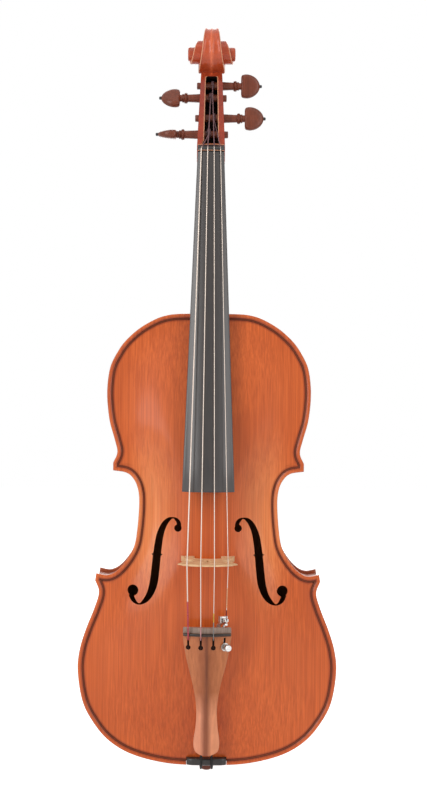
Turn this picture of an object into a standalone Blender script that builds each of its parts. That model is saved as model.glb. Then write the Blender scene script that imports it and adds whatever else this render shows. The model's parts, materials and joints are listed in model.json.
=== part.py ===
"""A 16 inch viola, built as the pieces that a maker carves, glues and fits.

Lengths below are millimetres and are turned to metres where a mesh is made. Shapes are drawn in the
body frame: x to the treble side, u down the body from the upper edge, h forward of the joint between
the belly and the ribs. The head is drawn from the nut: beyond it along the neck, and below it, behind
the plane that the fingerboard is glued to.
"""

import math

import bmesh
import bpy
import numpy as np
from mathutils import Vector
from mathutils.bvhtree import BVHTree

MM = 0.001

# Clearances, and how far a cut stops short of a face that it would otherwise share
GLUE_GAP = 0.3
FITTED_GAP = 0.5
SHY = 0.01
PEG_CLEARANCE = 0.3
STRING_GAP = 0.3

# Body outline: half widths at distances down the body, one list for each bout, as drawn on a body of
# the drawn size and then stretched to the body's own
BODY_LENGTH = 406.0
BODY_WIDTH = 233.2
DRAWN_LENGTH = 406.0
DRAWN_WIDTH = 233.2
UPPER_BOUT = (
    (0, 0), (36, 1.3), (58, 10.3), (74.5, 23.8), (84, 37.2), (89.7, 50.7), (91.9, 72),
    (89.7, 95.5), (84.8, 113.5), (82.3, 125), (86, 134.5),
)
WAIST = (
    (86, 141.5), (74, 143.5), (67.5, 149), (63.5, 158), (62.3, 171), (63.7, 193), (66.5, 209),
    (73.5, 222), (82, 231.5), (90.5, 235.4), (100.5, 233.9),
)
LOWER_BOUT = (
    (101.5, 240.2), (98, 251), (102.3, 266), (109.4, 284), (114.8, 302), (116.6, 321),
    (112.6, 347), (104.1, 365), (89.3, 383), (67.7, 396), (36, 403.9), (0, 406),
)
BOUT_NAMES = ("upper", "centre", "lower")
PLATE_STEPS = (14, 12, 16)
RIB_STEPS = (16, 14, 20)
TURN_PACE = 12.0

# Plates: how far the swell reaches out from the middle, at distances down the drawn body
EDGE_THICKNESS = 4.2
EDGE_CREST = 0.3
EDGE_ROUND = 1.6
EDGE_TUCK = 0.7
CHANNEL_THICKNESS = 3.2
CHANNEL_MIDDLE = 3.2
CHANNEL_REACH = 6.0
BELLY_ARCH = 18.0
BACK_ARCH = 17.0
BELLY_THICKNESS = 3.0
BACK_THICKNESS = 3.6
INSIDE_LAND = 9.2
INSIDE_EASE = 8.0
ARCH_REACH = (
    (5, 0), (9, 34), (20, 57), (38, 75), (72, 85), (100, 82), (126, 72), (150, 60.5), (171, 55.5),
    (195, 57), (215, 63), (240, 79), (265, 93), (290, 103), (321, 109), (348, 104), (372, 87),
    (389, 60), (397, 34), (401, 0),
)
ARCH_RISE_ABOVE = 150.0
ARCH_RISE_BELOW = 165.0
ARCH_END = 6.0
SPINE_SHARE = 0.8
OUTER_RINGS = (0.08, 0.24, 0.48, 0.76)
INNER_RINGS = (0.08, 0.28, 0.62)
BUTTON_WIDTH = 24.0
BUTTON_HEIGHT = 14.0
BUTTON_OVERLAP = 7.0
BUTTON_FOOT = 1.5

# Ribs, linings and blocks: blocks are (width, depth)
RIB_HEIGHT = 38.0
RIB_THICKNESS = 1.2
OVERHANG = 3.0
LINING_THICKNESS = 2.0
LINING_HEIGHT = 7.0
UPPER_BLOCK = (56.0, 17.0)
END_BLOCK = (50.0, 17.0)
CORNER_BLOCK_REACH = 24.0
LINE_OVERRUN = 9.0
SHORTEST_STEP = 0.6

# Sound holes, on the treble side of the drawn body: the middle of the slot with its width there, and
# the two eyes with their radii
SLOT = (
    (26.6, 189.0, 2.6), (27.6, 185.4, 3.0), (30.6, 183.3, 3.2), (34.6, 184.4, 3.8),
    (38.6, 188.2, 4.6), (41.8, 194.0, 5.4), (43.8, 202.0, 6.2), (45.5, 216.0, 6.9),
    (46.6, 230.0, 7.2), (48.2, 242.0, 7.0), (51.2, 251.0, 6.0), (55.6, 256.6, 4.8),
    (60.6, 258.0, 3.6), (65.2, 255.4, 3.0), (67.4, 250.4, 2.6),
)
UPPER_EYE = (26.7, 191.8, 3.1)
LOWER_EYE = (66.9, 247.3, 4.8)
SLOT_STEPS = 24
EYE_STEPS = 10
NOTCH_DEPTH = 1.6
NOTCH_HALF_WIDTH = 1.1
CUT_OVERRUN = 6.0
BODY_STOP = 216.0

# Neck
NECK_STOP = 146.5
NECK_SLOPE = 0.121
NECK_OVERSTAND = 7.0
NECK_THICKNESS = 13.6
NECK_SHOULDER = 2.2
NECK_TOP_INSET = 11.5
NECK_STATIONS = 4
HEEL_WIDTH = 30.0
HEEL_REACH = 12.6
HEEL_CHAMFER = (0.6, 2.6)
MORTISE_DEPTH = 6.0
HEEL_CURVE = (
    (15, 35.0), (18, 26.0), (22, 16.0), (27, 8.0), (34, 3.0), (45, 1.4), (90, 0.6), (135, 0.0),
)
NECK_INTO_HEAD = ((-6.5, 1.3), (-0.5, 4.3), (4.0, 8.3))

# Fingerboard and nut
FINGERBOARD_LENGTH = 304.5
FINGERBOARD_SIDE = 5.5
FINGERBOARD_UNDERCUT = 0.4
FINGERBOARD_RADIUS = 42.0
FINGERBOARD_WIDTH = 46.0
NUT_WIDTH = 24.0
NUT_LENGTH = 6.0
NUT_STRING_HEIGHT = 1.0
NUT_BACK = ((0.0, 0.0), (0.4, 0.3), (0.7, 3.0), (1.0, 6.4))
NUT_LAND = 2.2

# Head: the spiral round the eye, turn 0 at the top and a quarter turn on at the front
EYE_BEYOND_NUT = 96.5
EYE_BELOW_NUT = 31.5
SCROLL_RADIUS = 25.1
SCROLL_SHRINK = 0.515
BACK_SHRINK = 0.79
SCROLL_TURNS = 2.25
SCROLL_STEPS = 18
SCROLL_WIDTHS = (
    (0.0, 5.6), (0.25, 8.9), (0.45, 12.4), (0.75, 12.6), (1.0, 12.8), (1.25, 16.8), (1.5, 20.0),
    (1.75, 21.0), (2.25, 21.4),
)
EYE_RADIUS = 6.2
EYE_SIDES = 20
EYE_HALF_WIDTH = 22.0
EYE_ROUND = 1.2
SIDE_HOLLOW = 1.2
FLUTE_DEPTH = 1.1
THROAT_TURN = 0.47
BACK_TURN = 0.25

# Pegbox: its back outline as distances beyond and below the nut. The cavity's rows are distances beyond
# the nut, how far each wall comes in and how far the floor rises
PEGBOX_FRONT_BELOW = 0.8
PEGBOX_WIDTH_AT_NUT = 25.4
PEGBOX_WIDTH_AT_THROAT = 19.6
PEGBOX_BACK = (
    (-11.5, 12.1), (-4.5, 15.0), (1.0, 21.5), (6.0, 29.0), (13.5, 34.5), (25.5, 39.3), (43.5, 45.5),
    (61.5, 51.5), (79.5, 56.4),
)
PEGBOX_FLOOR = 6.5
PEGBOX_WALL_AT_NUT = 6.2
PEGBOX_WALL_AT_THROAT = 4.6
PEGBOX_START = -8.5
CAVITY = (
    (6.6, -1.2, 7.0), (10.0, 0.0, 0.0), (23.5, 0.0, 0.0), (43.5, 0.0, 0.0), (58.5, 0.0, 0.0),
    (70.5, 0.0, 0.0), (74.5, 1.2, 2.0), (76.5, 3.0, 5.0),
)
CAVITY_MOUTH = 72.5
CAVITY_ROOF = 12.0
CAVITY_END_ROOF = 0.5

# Pegs: name, side of the head, distance beyond the nut, turn of the head in degrees, length outside
PEGS = (
    ("c", -1, 19.3, 82.0, 19.3),
    ("g", -1, 55.7, 40.0, 18.4),
    ("d", 1, 68.2, 0.0, 17.2),
    ("a", 1, 35.5, 12.0, 19.2),
)
PEG_SET_BACK = 11.6
PEG_RADIUS = 4.0
PEG_TIP_RADIUS = 3.2
PEG_TIP_OUT = 3.4
PEG_TIP_ROUND = 0.6
PEG_HOLE_ALLOWANCE = 12.0
PEG_WAIST_RADIUS = 3.5
PEG_NECK_RADIUS = 3.2
PEG_NECK_LENGTH = 1.8
PEG_RING_RADIUS = 5.0
PEG_RING_LENGTH = 3.4
PEG_BEAD_RADIUS = 4.1
PEG_BEAD_LENGTH = 2.0
PEG_SIDES = 12
PEG_HEAD_LENGTH = 17.4
PEG_HEAD_WIDTH = 22.4
PEG_HEAD_THICKNESS = 8.8
PEG_HEAD_OUTLINE = (
    (0.0, 0.70), (0.05, 0.90), (0.28, 1.0), (0.52, 0.92), (0.72, 0.72), (0.90, 0.42), (1.0, 0.15),
)
PEG_HEAD_THINNING = 0.35
PEG_HEAD_DISH = 0.22
PEG_HEAD_SIDES = 12
PIP_RADIUS = 1.5
PIP_LENGTH = 1.8
PIP_ROUND = 0.6

# Strings, from the bass side: name, radius
STRINGS = (("c", 0.58), ("g", 0.45), ("d", 0.38), ("a", 0.33))
NUT_SPACING = 17.4
BRIDGE_SPACING = 35.4
TAIL_SPACING = 33.0
WINDING_TURNS = 3
WINDING_SIDES = 14
WINDING_SPREAD = 0.28
WINDING_SLACK = 0.05

# Bridge: half of its outline, from under the end of its crown down to the inside of the foot. Rows are
# distances out and up from the middle of the sound hole's line, feet aside
BRIDGE_HEIGHT = 57.0
BRIDGE_ARCH_RADIUS = 41.0
BRIDGE_CROWN_REACH = 21.5
BRIDGE_CROWN_DROP = 3.5
BRIDGE_SIDE = (
    (22.6, 49.4), (24.2, 42.5), (22.6, 39.2), (18.0, 38.0), (17.0, 40.4), (19.2, 41.8),
    (17.6, 43.8), (14.0, 43.2), (12.4, 39.6), (13.6, 35.6), (17.2, 33.4), (20.0, 30.0), (21.0, 25.4),
)
BRIDGE_ARCHWAY = ((13.6, 26.8), (8.6, 29.6), (0.0, 30.6))
BRIDGE_HEART = ((0, 44.4), (1.8, 46.2), (3.9, 45.4), (4.4, 43.0), (2.8, 40.4), (0.9, 38.4), (0, 35.6))
BRIDGE_FOOT_REACH = 23.75
BRIDGE_FOOT_LENGTH = 12.0
BRIDGE_FOOT_HEIGHT = 2.6
BRIDGE_ANKLE = 2.0
BRIDGE_THICK_UP_TO = 20.0
BRIDGE_FOOT_THICKNESS = 4.8
BRIDGE_TOP_THICKNESS = 1.5

# Saddle and tailpiece: the tailpiece's widths at shares of its length
SADDLE_WIDTH = 35.6
SADDLE_LENGTH = 6.4
SADDLE_INSET = 1.4
SADDLE_HEIGHT = 9.0
SADDLE_ROUND = 1.8
SADDLE_ENDS = ((0.0, 3.4), (2.0, 1.4), (6.0, 0.3))
TAILPIECE_TO_SADDLE = 5.2
TAILPIECE_LENGTH = 117.0
TAILPIECE_WIDTHS = (
    (0.0, 42.0), (0.07, 42.6), (0.17, 39.5), (0.3, 33.0), (0.43, 25.5), (0.556, 20.0), (0.667, 18.2),
    (0.786, 20.0), (0.889, 23.0), (0.949, 22.0), (0.983, 16.0), (1.0, 7.0),
)
TAILPIECE_STATIONS = (
    0.0, 0.06, 0.13, 0.22, 0.32, 0.43, 0.54, 0.667, 0.78, 0.87, 0.94, 0.97, 0.988, 1.0,
)
TAILPIECE_FRONT = 41.0
TAILPIECE_BACK = 20.0
TAILPIECE_THICKNESS = 4.6
TAILPIECE_EDGE = 1.6
TAILPIECE_HOLLOW = 1.0
TAILPIECE_CROWN = 4.4
KEYHOLE_START = 9.0
KEYHOLE_END = 18.0
KEYHOLE_SLIT = 0.9
KEYHOLE_RADIUS = 2.1
FRET_AT = 5.2
FRET_LENGTH = 2.4
FRET_HEIGHT = 2.0
FRET_ROUND = 0.5
FRET_INSET = 0.4

# Tailgut and end button
TAILGUT_RADIUS = 1.0
TAILGUT_SPREAD = 4.6
TAILGUT_SPREAD_AT_BUTTON = 5.6
TAILGUT_ROUND_STEPS = 10
TAILGUT_GRIP = 9.0
TAILGUT_START_DEPTH = 8.2
END_BUTTON_RADIUS = 6.2
END_BUTTON_NECK = 4.4
END_BUTTON_NECK_LENGTH = 3.8
END_BUTTON_SHANK = 3.9
END_BUTTON_SHANK_LENGTH = 19.0
END_BUTTON_OUT = 12.0
END_BUTTON_FLAT = 3.0
END_BUTTON_SIDES = 18

# Inside
BASS_BAR_LENGTH = 292.0
BASS_BAR_WIDTH = 6.0
BASS_BAR_HEIGHT = 12.0
BASS_BAR_END_HEIGHT = 3.0
BASS_BAR_OFFSET = 18.5
BASS_BAR_STATIONS = 21
SOUND_POST_RADIUS = 3.25
SOUND_POST_OFFSET = 18.0
SOUND_POST_BEHIND = 5.0
SOUND_POST_SIDES = 14

# Fine tuner on the treble string. It leans outward with the crowned face that it is clamped to, and is
# drawn in its own frame: p across, u down the body, q out of the tailpiece
TUNER_OFFSET = 14.8
TUNER_LEAN = 25.0
TUNER_HOLE = 17.0
TUNER_REACH = 6.0
TUNER_PIVOT_Q = -2.6
TUNER_PLATE_Q = -7.0
TUNER_PLATE_THICKNESS = 1.3
TUNER_CHEEK_IN = 2.5
TUNER_CHEEK_OUT = 3.4
TUNER_CHEEK_TOP = 2.2
TUNER_CHEEK_FOOT = 1.9
TUNER_CHEEK_FRONT = 3.4
TUNER_CHEEK_REAR = 3.2
TUNER_TIE = 1.4
TUNER_ARM_Q = -11.2
TUNER_ARM_THICKNESS = 1.3
TUNER_LEVER_HALF = 1.7
TUNER_LEVER_NECK = 1.6
TUNER_HOOK_Q = 4.2
TUNER_HOOK_LIP = 1.0
TUNER_HOOK_BACK = 0.6
TUNER_TUBE_RADIUS = 2.2
TUNER_TUBE_TOP = 2.8
TUNER_COLLAR = (1.3, 2.5, 1.1)
TUNER_SCREW_RADIUS = 1.2
TUNER_SCREW_POINT = 0.5
TUNER_KNOB_Q = 5.4
TUNER_KNOB_RADIUS = 3.1
TUNER_KNOB_LENGTH = 4.6
TUNER_KNOB_BEVEL = 0.7
TUNER_PIN_RADIUS = 0.8
TUNER_PIN_HALF = 3.3
TUNER_BALL_RADIUS = 1.5
TUNER_SIDES = 16

# The yoke of a wall hanger goes round the head here, under the eyes
HANGER_BEYOND_NUT = 79.5
HANGER_BELOW_NUT = 37.5

WIDER = BODY_WIDTH / DRAWN_WIDTH
LONGER = BODY_LENGTH / DRAWN_LENGTH


def fitted(rows):
    """Rows drawn as (out, down, ...), stretched to the body's own size."""
    return [(x * WIDER, u * LONGER, *rest) for x, u, *rest in rows]


BOUTS = [fitted(bout) for bout in (UPPER_BOUT, WAIST, LOWER_BOUT)]
SWELL = [(u * LONGER, reach * WIDER) for u, reach in ARCH_REACH]
EYES = fitted((UPPER_EYE, LOWER_EYE))
SADDLE_START = BODY_LENGTH - SADDLE_LENGTH - SADDLE_INSET
TAILPIECE_END = SADDLE_START - TAILPIECE_TO_SADDLE
TAILPIECE_START = TAILPIECE_END - TAILPIECE_LENGTH
FINGERBOARD_END = FINGERBOARD_LENGTH - NECK_STOP
NUT_END = -NECK_STOP - NUT_LENGTH
TUNER_HOLE_U = TAILPIECE_START + TUNER_HOLE
TUNER_PIVOT_U = TAILPIECE_START - TUNER_REACH


def glue_plane(u):
    """Height of the neck's upper face, under the fingerboard."""
    return EDGE_THICKNESS + NECK_OVERSTAND + NECK_SLOPE * u


def head_place(beyond, below):
    """A place of the head, given from the nut, as (u, h) of the body frame."""
    return -NECK_STOP - beyond, glue_plane(-NECK_STOP) - below


EYE_AT = head_place(EYE_BEYOND_NUT, EYE_BELOW_NUT)
PEGBOX_OUTLINE = [head_place(*row) for row in PEGBOX_BACK]
HANGER_AT = (0.0, *head_place(HANGER_BEYOND_NUT, HANGER_BELOW_NUT))

MATERIALS = {
    "varnished_spruce": ((0.60, 0.20, 0.07, 1), 0.3, 0.0),
    "varnished_maple": ((0.52, 0.14, 0.05, 1), 0.3, 0.0),
    "bare_spruce": ((0.72, 0.55, 0.35, 1), 0.7, 0.0),
    "bare_maple": ((0.62, 0.43, 0.24, 1), 0.55, 0.0),
    "boxwood": ((0.45, 0.20, 0.09, 1), 0.35, 0.0),
    "ebony": ((0.03, 0.028, 0.027, 1), 0.4, 0.0),
    "steel": ((0.62, 0.61, 0.58, 1), 0.25, 1.0),
    "cord": ((0.03, 0.03, 0.03, 1), 0.5, 0.0),
}


def clear_scene():
    for obj in list(bpy.data.objects):
        bpy.data.objects.remove(obj, do_unlink=True)


def material(name):
    if name in bpy.data.materials:
        return bpy.data.materials[name]
    made = bpy.data.materials.new(name)
    made.use_nodes = True
    colour, roughness, metallic = MATERIALS[name]
    shader = made.node_tree.nodes["Principled BSDF"]
    shader.inputs["Base Color"].default_value = colour
    shader.inputs["Roughness"].default_value = roughness
    shader.inputs["Metallic"].default_value = metallic
    return made


def body_point(x, u, h):
    """A point of the body frame, as a vector of the scene's axes in millimetres."""
    return Vector((x, -h, -u))


def smooth_curve(points, steps):
    """Catmull-Rom through the points, in the given number of steps, which are closer where it turns."""
    rows = np.array(points, float)
    padded = np.vstack([2 * rows[0] - rows[1], rows, 2 * rows[-1] - rows[-2]])
    fine = []
    for i in range(1, len(padded) - 2):
        before, start, end, after = padded[i - 1 : i + 3]
        for t in np.linspace(0, 1, 24, endpoint=False):
            fine.append(
                0.5
                * (
                    2 * start
                    + (end - before) * t
                    + (2 * before - 5 * start + 4 * end - after) * t**2
                    + (3 * start - before - 3 * end + after) * t**3
                )
            )
    fine = np.array(fine + [rows[-1]])
    legs = np.diff(fine, axis=0)
    heading = np.unwrap(np.arctan2(legs[:, 1], legs[:, 0]))
    turning = np.abs(np.diff(heading, append=heading[-1]))
    pace = np.linalg.norm(legs, axis=1) + TURN_PACE * turning
    along = np.concatenate([[0], np.cumsum(pace)])
    even = np.linspace(0, along[-1], steps + 1)
    return np.stack([np.interp(even, along, column) for column in fine.T], axis=1)


def smooth_value(table, at):
    """The table's value at a place, eased between its rows without overshoot."""
    places = [row[0] for row in table]
    values = [row[1] for row in table]
    slopes = np.gradient(values, places)
    at = min(max(at, places[0]), places[-1])
    i = min(int(np.searchsorted(places, at, side="right")) - 1, len(places) - 2)
    span = places[i + 1] - places[i]
    t = (at - places[i]) / span
    rise = values[i + 1] - values[i]
    steepest = 3 * abs(rise) / span
    first, last = (max(-steepest, min(steepest, s)) for s in (slopes[i], slopes[i + 1]))
    if rise * first < 0:
        first = 0
    if rise * last < 0:
        last = 0
    return (
        values[i] * (2 * t**3 - 3 * t**2 + 1)
        + span * first * (t**3 - 2 * t**2 + t)
        + values[i + 1] * (3 * t**2 - 2 * t**3)
        + span * last * (t**3 - t**2)
    )


def add_object(name, mesh, kind, origin=(0, 0, 0), smooth=True):
    """Hangs a finished mesh in the scene, with its origin at a point of the body frame."""
    if smooth:
        mesh.shade_smooth()
        mesh.set_sharp_from_angle(angle=math.radians(35))
    mesh.materials.append(material(kind))
    obj = bpy.data.objects.new(name, mesh)
    bpy.context.scene.collection.objects.link(obj)
    obj.parent = bpy.data.objects["viola_origin"]
    obj.location = body_point(*origin) * MM
    return obj


def mesh_of(name, points, faces, origin=(0, 0, 0)):
    """A mesh from body frame points, its faces turned outward."""
    home = body_point(*origin)
    corners = [(body_point(*p) - home) * MM for p in points]
    mesh = bpy.data.meshes.new(name)
    mesh.from_pydata(corners, [], faces)
    build = bmesh.new()
    build.from_mesh(mesh)
    bmesh.ops.remove_doubles(build, verts=build.verts, dist=1e-7)
    bmesh.ops.triangulate(build, faces=[f for f in build.faces if len(f.verts) > 4])
    bmesh.ops.recalc_face_normals(build, faces=build.faces)
    if build.calc_volume(signed=True) < 0:
        bmesh.ops.reverse_faces(build, faces=build.faces)
    build.to_mesh(mesh)
    build.free()
    return mesh


def add_solid(name, points, faces, kind, origin=(0, 0, 0)):
    return add_object(name, mesh_of(name, points, faces, origin), kind, origin)


def loft(sections):
    """Points and faces of a solid through closed sections of equal count, capped at both ends."""
    count = len(sections[0])
    points = [p for section in sections for p in section]
    faces = []
    for k in range(len(sections) - 1):
        for i in range(count):
            j = (i + 1) % count
            a = k * count
            faces.append((a + i, a + j, a + count + j, a + count + i))
    faces.append(tuple(range(count)))
    faces.append(tuple(range(len(points) - count, len(points))))
    return points, faces


def prism(outline, back, front):
    """A solid of an (x, u) outline between two heights, which may be functions of (x, u)."""
    low = back if callable(back) else lambda x, u: back
    high = front if callable(front) else lambda x, u: front
    return loft([
        [(x, u, low(x, u)) for x, u in outline],
        [(x, u, high(x, u)) for x, u in outline],
    ])


def turned(profile, axis_point, direction, count=24):
    """A solid of revolution: (distance along, radius) rows about an axis of the body frame."""
    along = np.array(direction, float)
    along /= np.linalg.norm(along)
    helper = np.array((0, 1, 0) if abs(along[0]) > 0.5 else (1, 0, 0), float)
    side = np.cross(along, helper)
    side /= np.linalg.norm(side)
    other = np.cross(along, side)
    sections = []
    for distance, radius in profile:
        centre = np.array(axis_point) + along * distance
        sections.append([
            tuple(centre + radius * (side * math.cos(a) + other * math.sin(a)))
            for a in (2 * math.pi * i / count for i in range(count))
        ])
    return loft(sections)


def cutter(name, points, faces):
    obj = add_object(name, mesh_of(name, points, faces), "cord", smooth=False)
    obj.hide_render = True
    obj.display_type = "WIRE"
    return obj


def cut(target, tool):
    modifier = target.modifiers.new(tool.name, "BOOLEAN")
    modifier.operation = "DIFFERENCE"
    modifier.object = tool
    modifier.solver = "EXACT"


def join(target, tool):
    modifier = target.modifiers.new(tool.name, "BOOLEAN")
    modifier.operation = "UNION"
    modifier.object = tool
    modifier.solver = "EXACT"


def mirrored(points):
    return [(-p[0], *p[1:]) for p in points]


def tube(name, route, radius, kind):
    """A round cord along a hand-picked route of the body frame."""
    curve = bpy.data.curves.new(name, "CURVE")
    curve.dimensions = "3D"
    curve.bevel_depth = radius * MM
    curve.bevel_resolution = 2
    curve.use_fill_caps = True
    spline = curve.splines.new("POLY")
    spline.points.add(len(route) - 1)
    for point, place in zip(spline.points, route):
        point.co = (*(body_point(*place) * MM), 1)
    curve.materials.append(material(kind))
    obj = bpy.data.objects.new(name, curve)
    bpy.context.scene.collection.objects.link(obj)
    obj.parent = bpy.data.objects["viola_origin"]
    return obj


class Skin:
    """Points and faces of a closed skin, put together one by one."""

    def __init__(self):
        self.points = []
        self.faces = []

    def put(self, x, u, h):
        self.points.append((x, u, h))
        return len(self.points) - 1

    def band(self, first, second):
        """Faces between two rows of points of equal count."""
        for i in range(len(first) - 1):
            self.faces.append((first[i], first[i + 1], second[i + 1], second[i]))


# Outline and arching


def half_outline():
    """The treble half of the plates' outline, top to bottom."""
    return np.vstack([smooth_curve(bout, steps) for bout, steps in zip(BOUTS, PLATE_STEPS)])


def closed_ring(half):
    """The whole ring from its treble half; both centre points are kept once."""
    return np.vstack([half, half[-2:0:-1] * (-1, 1)])


def inset_ring(ring, distance):
    """The ring moved inward, mitred at its corners."""
    before = ring - np.roll(ring, 1, axis=0)
    after = np.roll(ring, -1, axis=0) - ring
    before /= np.linalg.norm(before, axis=1)[:, None]
    after /= np.linalg.norm(after, axis=1)[:, None]
    normal_in = np.stack([-before[:, 1], before[:, 0]], axis=1)
    normal_out = np.stack([-after[:, 1], after[:, 0]], axis=1)
    middle = normal_in + normal_out
    middle /= np.linalg.norm(middle, axis=1)[:, None]
    stretch = 1 / np.maximum((middle * normal_in).sum(axis=1), 0.5)
    return ring + middle * (distance * stretch)[:, None]


HALF = half_outline()
RING = closed_ring(HALF)


def edge_distance(x, u):
    """How far a point lies from the plates' outline."""
    leg = np.roll(RING, -1, axis=0) - RING
    offset = np.array((x, u)) - RING
    along = np.clip((offset * leg).sum(axis=1) / (leg**2).sum(axis=1), 0, 1)
    return float(np.linalg.norm(offset - leg * along[:, None], axis=1).min())


def arch(x, u, rise):
    """The carved swell above the channel at a point."""
    reach = smooth_value(SWELL, u)
    if reach <= abs(x):
        return 0.0
    from_above = min(1.0, max(0.0, (u - ARCH_END) / ARCH_RISE_ABOVE))
    from_below = min(1.0, max(0.0, (BODY_LENGTH - ARCH_END - u) / ARCH_RISE_BELOW))
    ridge = (1 - (1 - from_above) ** 2.5) * (1 - (1 - from_below) ** 2.5)
    across = (abs(x) / reach) ** 1.3
    return rise * ridge * 0.5 * (1 + math.cos(math.pi * across))


def plate_height(x, u, top):
    """Height of a plate's outer face over its glued face."""
    hollow = min(1.0, edge_distance(x, u) / CHANNEL_REACH)
    crest = EDGE_THICKNESS + EDGE_CREST
    rim = crest + (CHANNEL_THICKNESS - crest) * hollow**2 * (3 - 2 * hollow)
    return rim + arch(x, u, top - CHANNEL_THICKNESS)


def inner_height(x, u, top, thickness):
    """Height of the hollowed inner face, flat where the ribs, linings and blocks are glued."""
    swell = plate_height(x, u, top) - thickness
    blend = min(1.0, max(0.0, (edge_distance(x, u) - INSIDE_LAND) / INSIDE_EASE))
    return max(0.0, swell) * blend


def spine_line(half):
    """The line down the middle that a plate's rings close on, with a point for each of the outline's."""
    legs = np.linalg.norm(np.diff(half, axis=0), axis=1)
    share = np.concatenate([[0], np.cumsum(legs)]) / legs.sum()
    start = BODY_LENGTH * (1 - SPINE_SHARE) / 2
    return np.stack([0 * share, start + share * BODY_LENGTH * SPINE_SHARE], axis=1)


def plate(top, thickness, half, flip):
    """A carved plate. flip is None for the belly, or the height of the glued face of the back."""
    ring = closed_ring(half)
    count = len(ring)
    spine_half = spine_line(half)
    spine = closed_ring(spine_half)
    base = inset_ring(ring, CHANNEL_MIDDLE)

    def outer(points):
        return [(x, u, plate_height(x, u, top)) for x, u in points]

    def inner(points):
        return [(x, u, inner_height(x, u, top, thickness)) for x, u in points]

    crest = EDGE_THICKNESS + EDGE_CREST
    over = [
        [(x, u, 0.0) for x, u in inset_ring(ring, EDGE_TUCK)],
        [(x, u, EDGE_THICKNESS / 2) for x, u in ring],
        [(x, u, crest) for x, u in inset_ring(ring, EDGE_ROUND)],
        outer(base),
    ]
    over += [outer(base + (spine - base) * t) for t in OUTER_RINGS]
    under = [inner(base + (spine - base) * t) for t in INNER_RINGS]
    skin = Skin()

    def put_row(row):
        return [skin.put(*p) for p in row]

    def close_on(row, middle):
        """Faces from a ring to the line down the middle, which both of its halves share."""
        there = [*middle, *middle[-2:0:-1]]
        skin.band([*row, row[0]], [*there, there[0]])

    first = last = put_row(over[0])
    for row in over[1:]:
        placed = put_row(row)
        skin.band([*last, last[0]], [*placed, placed[0]])
        last = placed
    close_on(last, put_row(outer(spine_half)))
    last = first
    for row in under:
        placed = put_row(row)
        skin.band([*last, last[0]], [*placed, placed[0]])
        last = placed
    close_on(last, put_row(inner(spine_half)))
    if flip is None:
        return skin.points, skin.faces
    return [(x, u, flip - h) for x, u, h in skin.points], skin.faces


PLATE_SHAPES = {
    "top_plate": plate(BELLY_ARCH, BELLY_THICKNESS, HALF, None),
    "back_plate": plate(BACK_ARCH, BACK_THICKNESS, HALF, -RIB_HEIGHT),
}
PLATE_TREES = {
    name: BVHTree.FromPolygons([Vector(p) for p in points], faces)
    for name, (points, faces) in PLATE_SHAPES.items()
}


def plate_face(name, x, u, start, direction):
    """Height at which a plate's own face meets a line through (x, u), so that pieces seat on it."""
    nudge = 0.004
    hit = PLATE_TREES[name].ray_cast(Vector((x + nudge, u + nudge, start)), Vector((0, 0, direction)))
    return hit[0].z


def belly(x, u):
    return plate_face("top_plate", x, u, 90, -1)


def belly_inside(x, u):
    return plate_face("top_plate", x, u, -RIB_HEIGHT / 2, 1)


def back_inside(x, u):
    return plate_face("back_plate", x, u, -RIB_HEIGHT / 2, -1)


# Neck heights


def fingerboard_half_width(u):
    share = (u + NECK_STOP) / (FINGERBOARD_END + NECK_STOP)
    return (NUT_WIDTH + (FINGERBOARD_WIDTH - NUT_WIDTH) * share) / 2


def fingerboard_top(x, u):
    half = fingerboard_half_width(u)
    crown = math.sqrt(FINGERBOARD_RADIUS**2 - x**2) - math.sqrt(FINGERBOARD_RADIUS**2 - half**2)
    return glue_plane(u) + FINGERBOARD_SIDE + crown


# Body


def slot_edges():
    """The two long sides of the f-shaped slot, from the upper eye to the lower one."""
    rows = smooth_curve(fitted(SLOT), SLOT_STEPS)
    line = rows[:, :2]
    ahead = np.gradient(line, axis=0)
    ahead /= np.linalg.norm(ahead, axis=1)[:, None]
    side = np.stack([-ahead[:, 1], ahead[:, 0]], axis=1) * rows[:, 2:] / 2
    return line + side, line - side


def clear_of_eyes(edge):
    """The points of a side that lie outside both round eyes."""
    kept = []
    for x, u in edge:
        if all(math.hypot(x - eye_x, u - eye_u) > radius for eye_x, eye_u, radius in EYES):
            kept.append((x, u))
    return kept


def notched(edge, outward):
    """A side with the small nick that marks the bridge's place."""
    kept = [p for p in edge if abs(p[1] - BODY_STOP) > NOTCH_HALF_WIDTH]
    made = []
    for here, there in zip(kept[:-1], kept[1:]):
        made.append(here)
        if here[1] < BODY_STOP < there[1]:
            share = (BODY_STOP - here[1]) / (there[1] - here[1])
            x = here[0] + share * (there[0] - here[0])
            made.append((x, BODY_STOP - NOTCH_HALF_WIDTH))
            made.append((x + outward * NOTCH_DEPTH, BODY_STOP))
            made.append((x, BODY_STOP + NOTCH_HALF_WIDTH))
    return made + [kept[-1]]


def round_eye(eye, start, end):
    """The arc of an eye from one side of the slot to the other, the long way round."""
    first = math.atan2(start[1] - eye[1], start[0] - eye[0])
    sweep = (math.atan2(end[1] - eye[1], end[0] - eye[0]) - first) % (2 * math.pi)
    if sweep < math.pi:
        sweep -= 2 * math.pi
    return [
        (eye[0] + eye[2] * math.cos(a), eye[1] + eye[2] * math.sin(a))
        for a in np.linspace(first, first + sweep, EYE_STEPS + 1)
    ]


def sound_hole_outline():
    """Slot, eyes and nicks of the treble sound hole as one closed outline."""
    outer, inner = (clear_of_eyes(edge) for edge in slot_edges())
    if outer[len(outer) // 2][0] < inner[len(inner) // 2][0]:
        outer, inner = inner, outer
    outer, inner = notched(outer, 1), notched(inner, -1)
    upper_eye, lower_eye = EYES
    lower = round_eye(lower_eye, outer[-1], inner[-1])
    upper = round_eye(upper_eye, inner[0], outer[0])
    return outer + lower + inner[::-1] + upper


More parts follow.
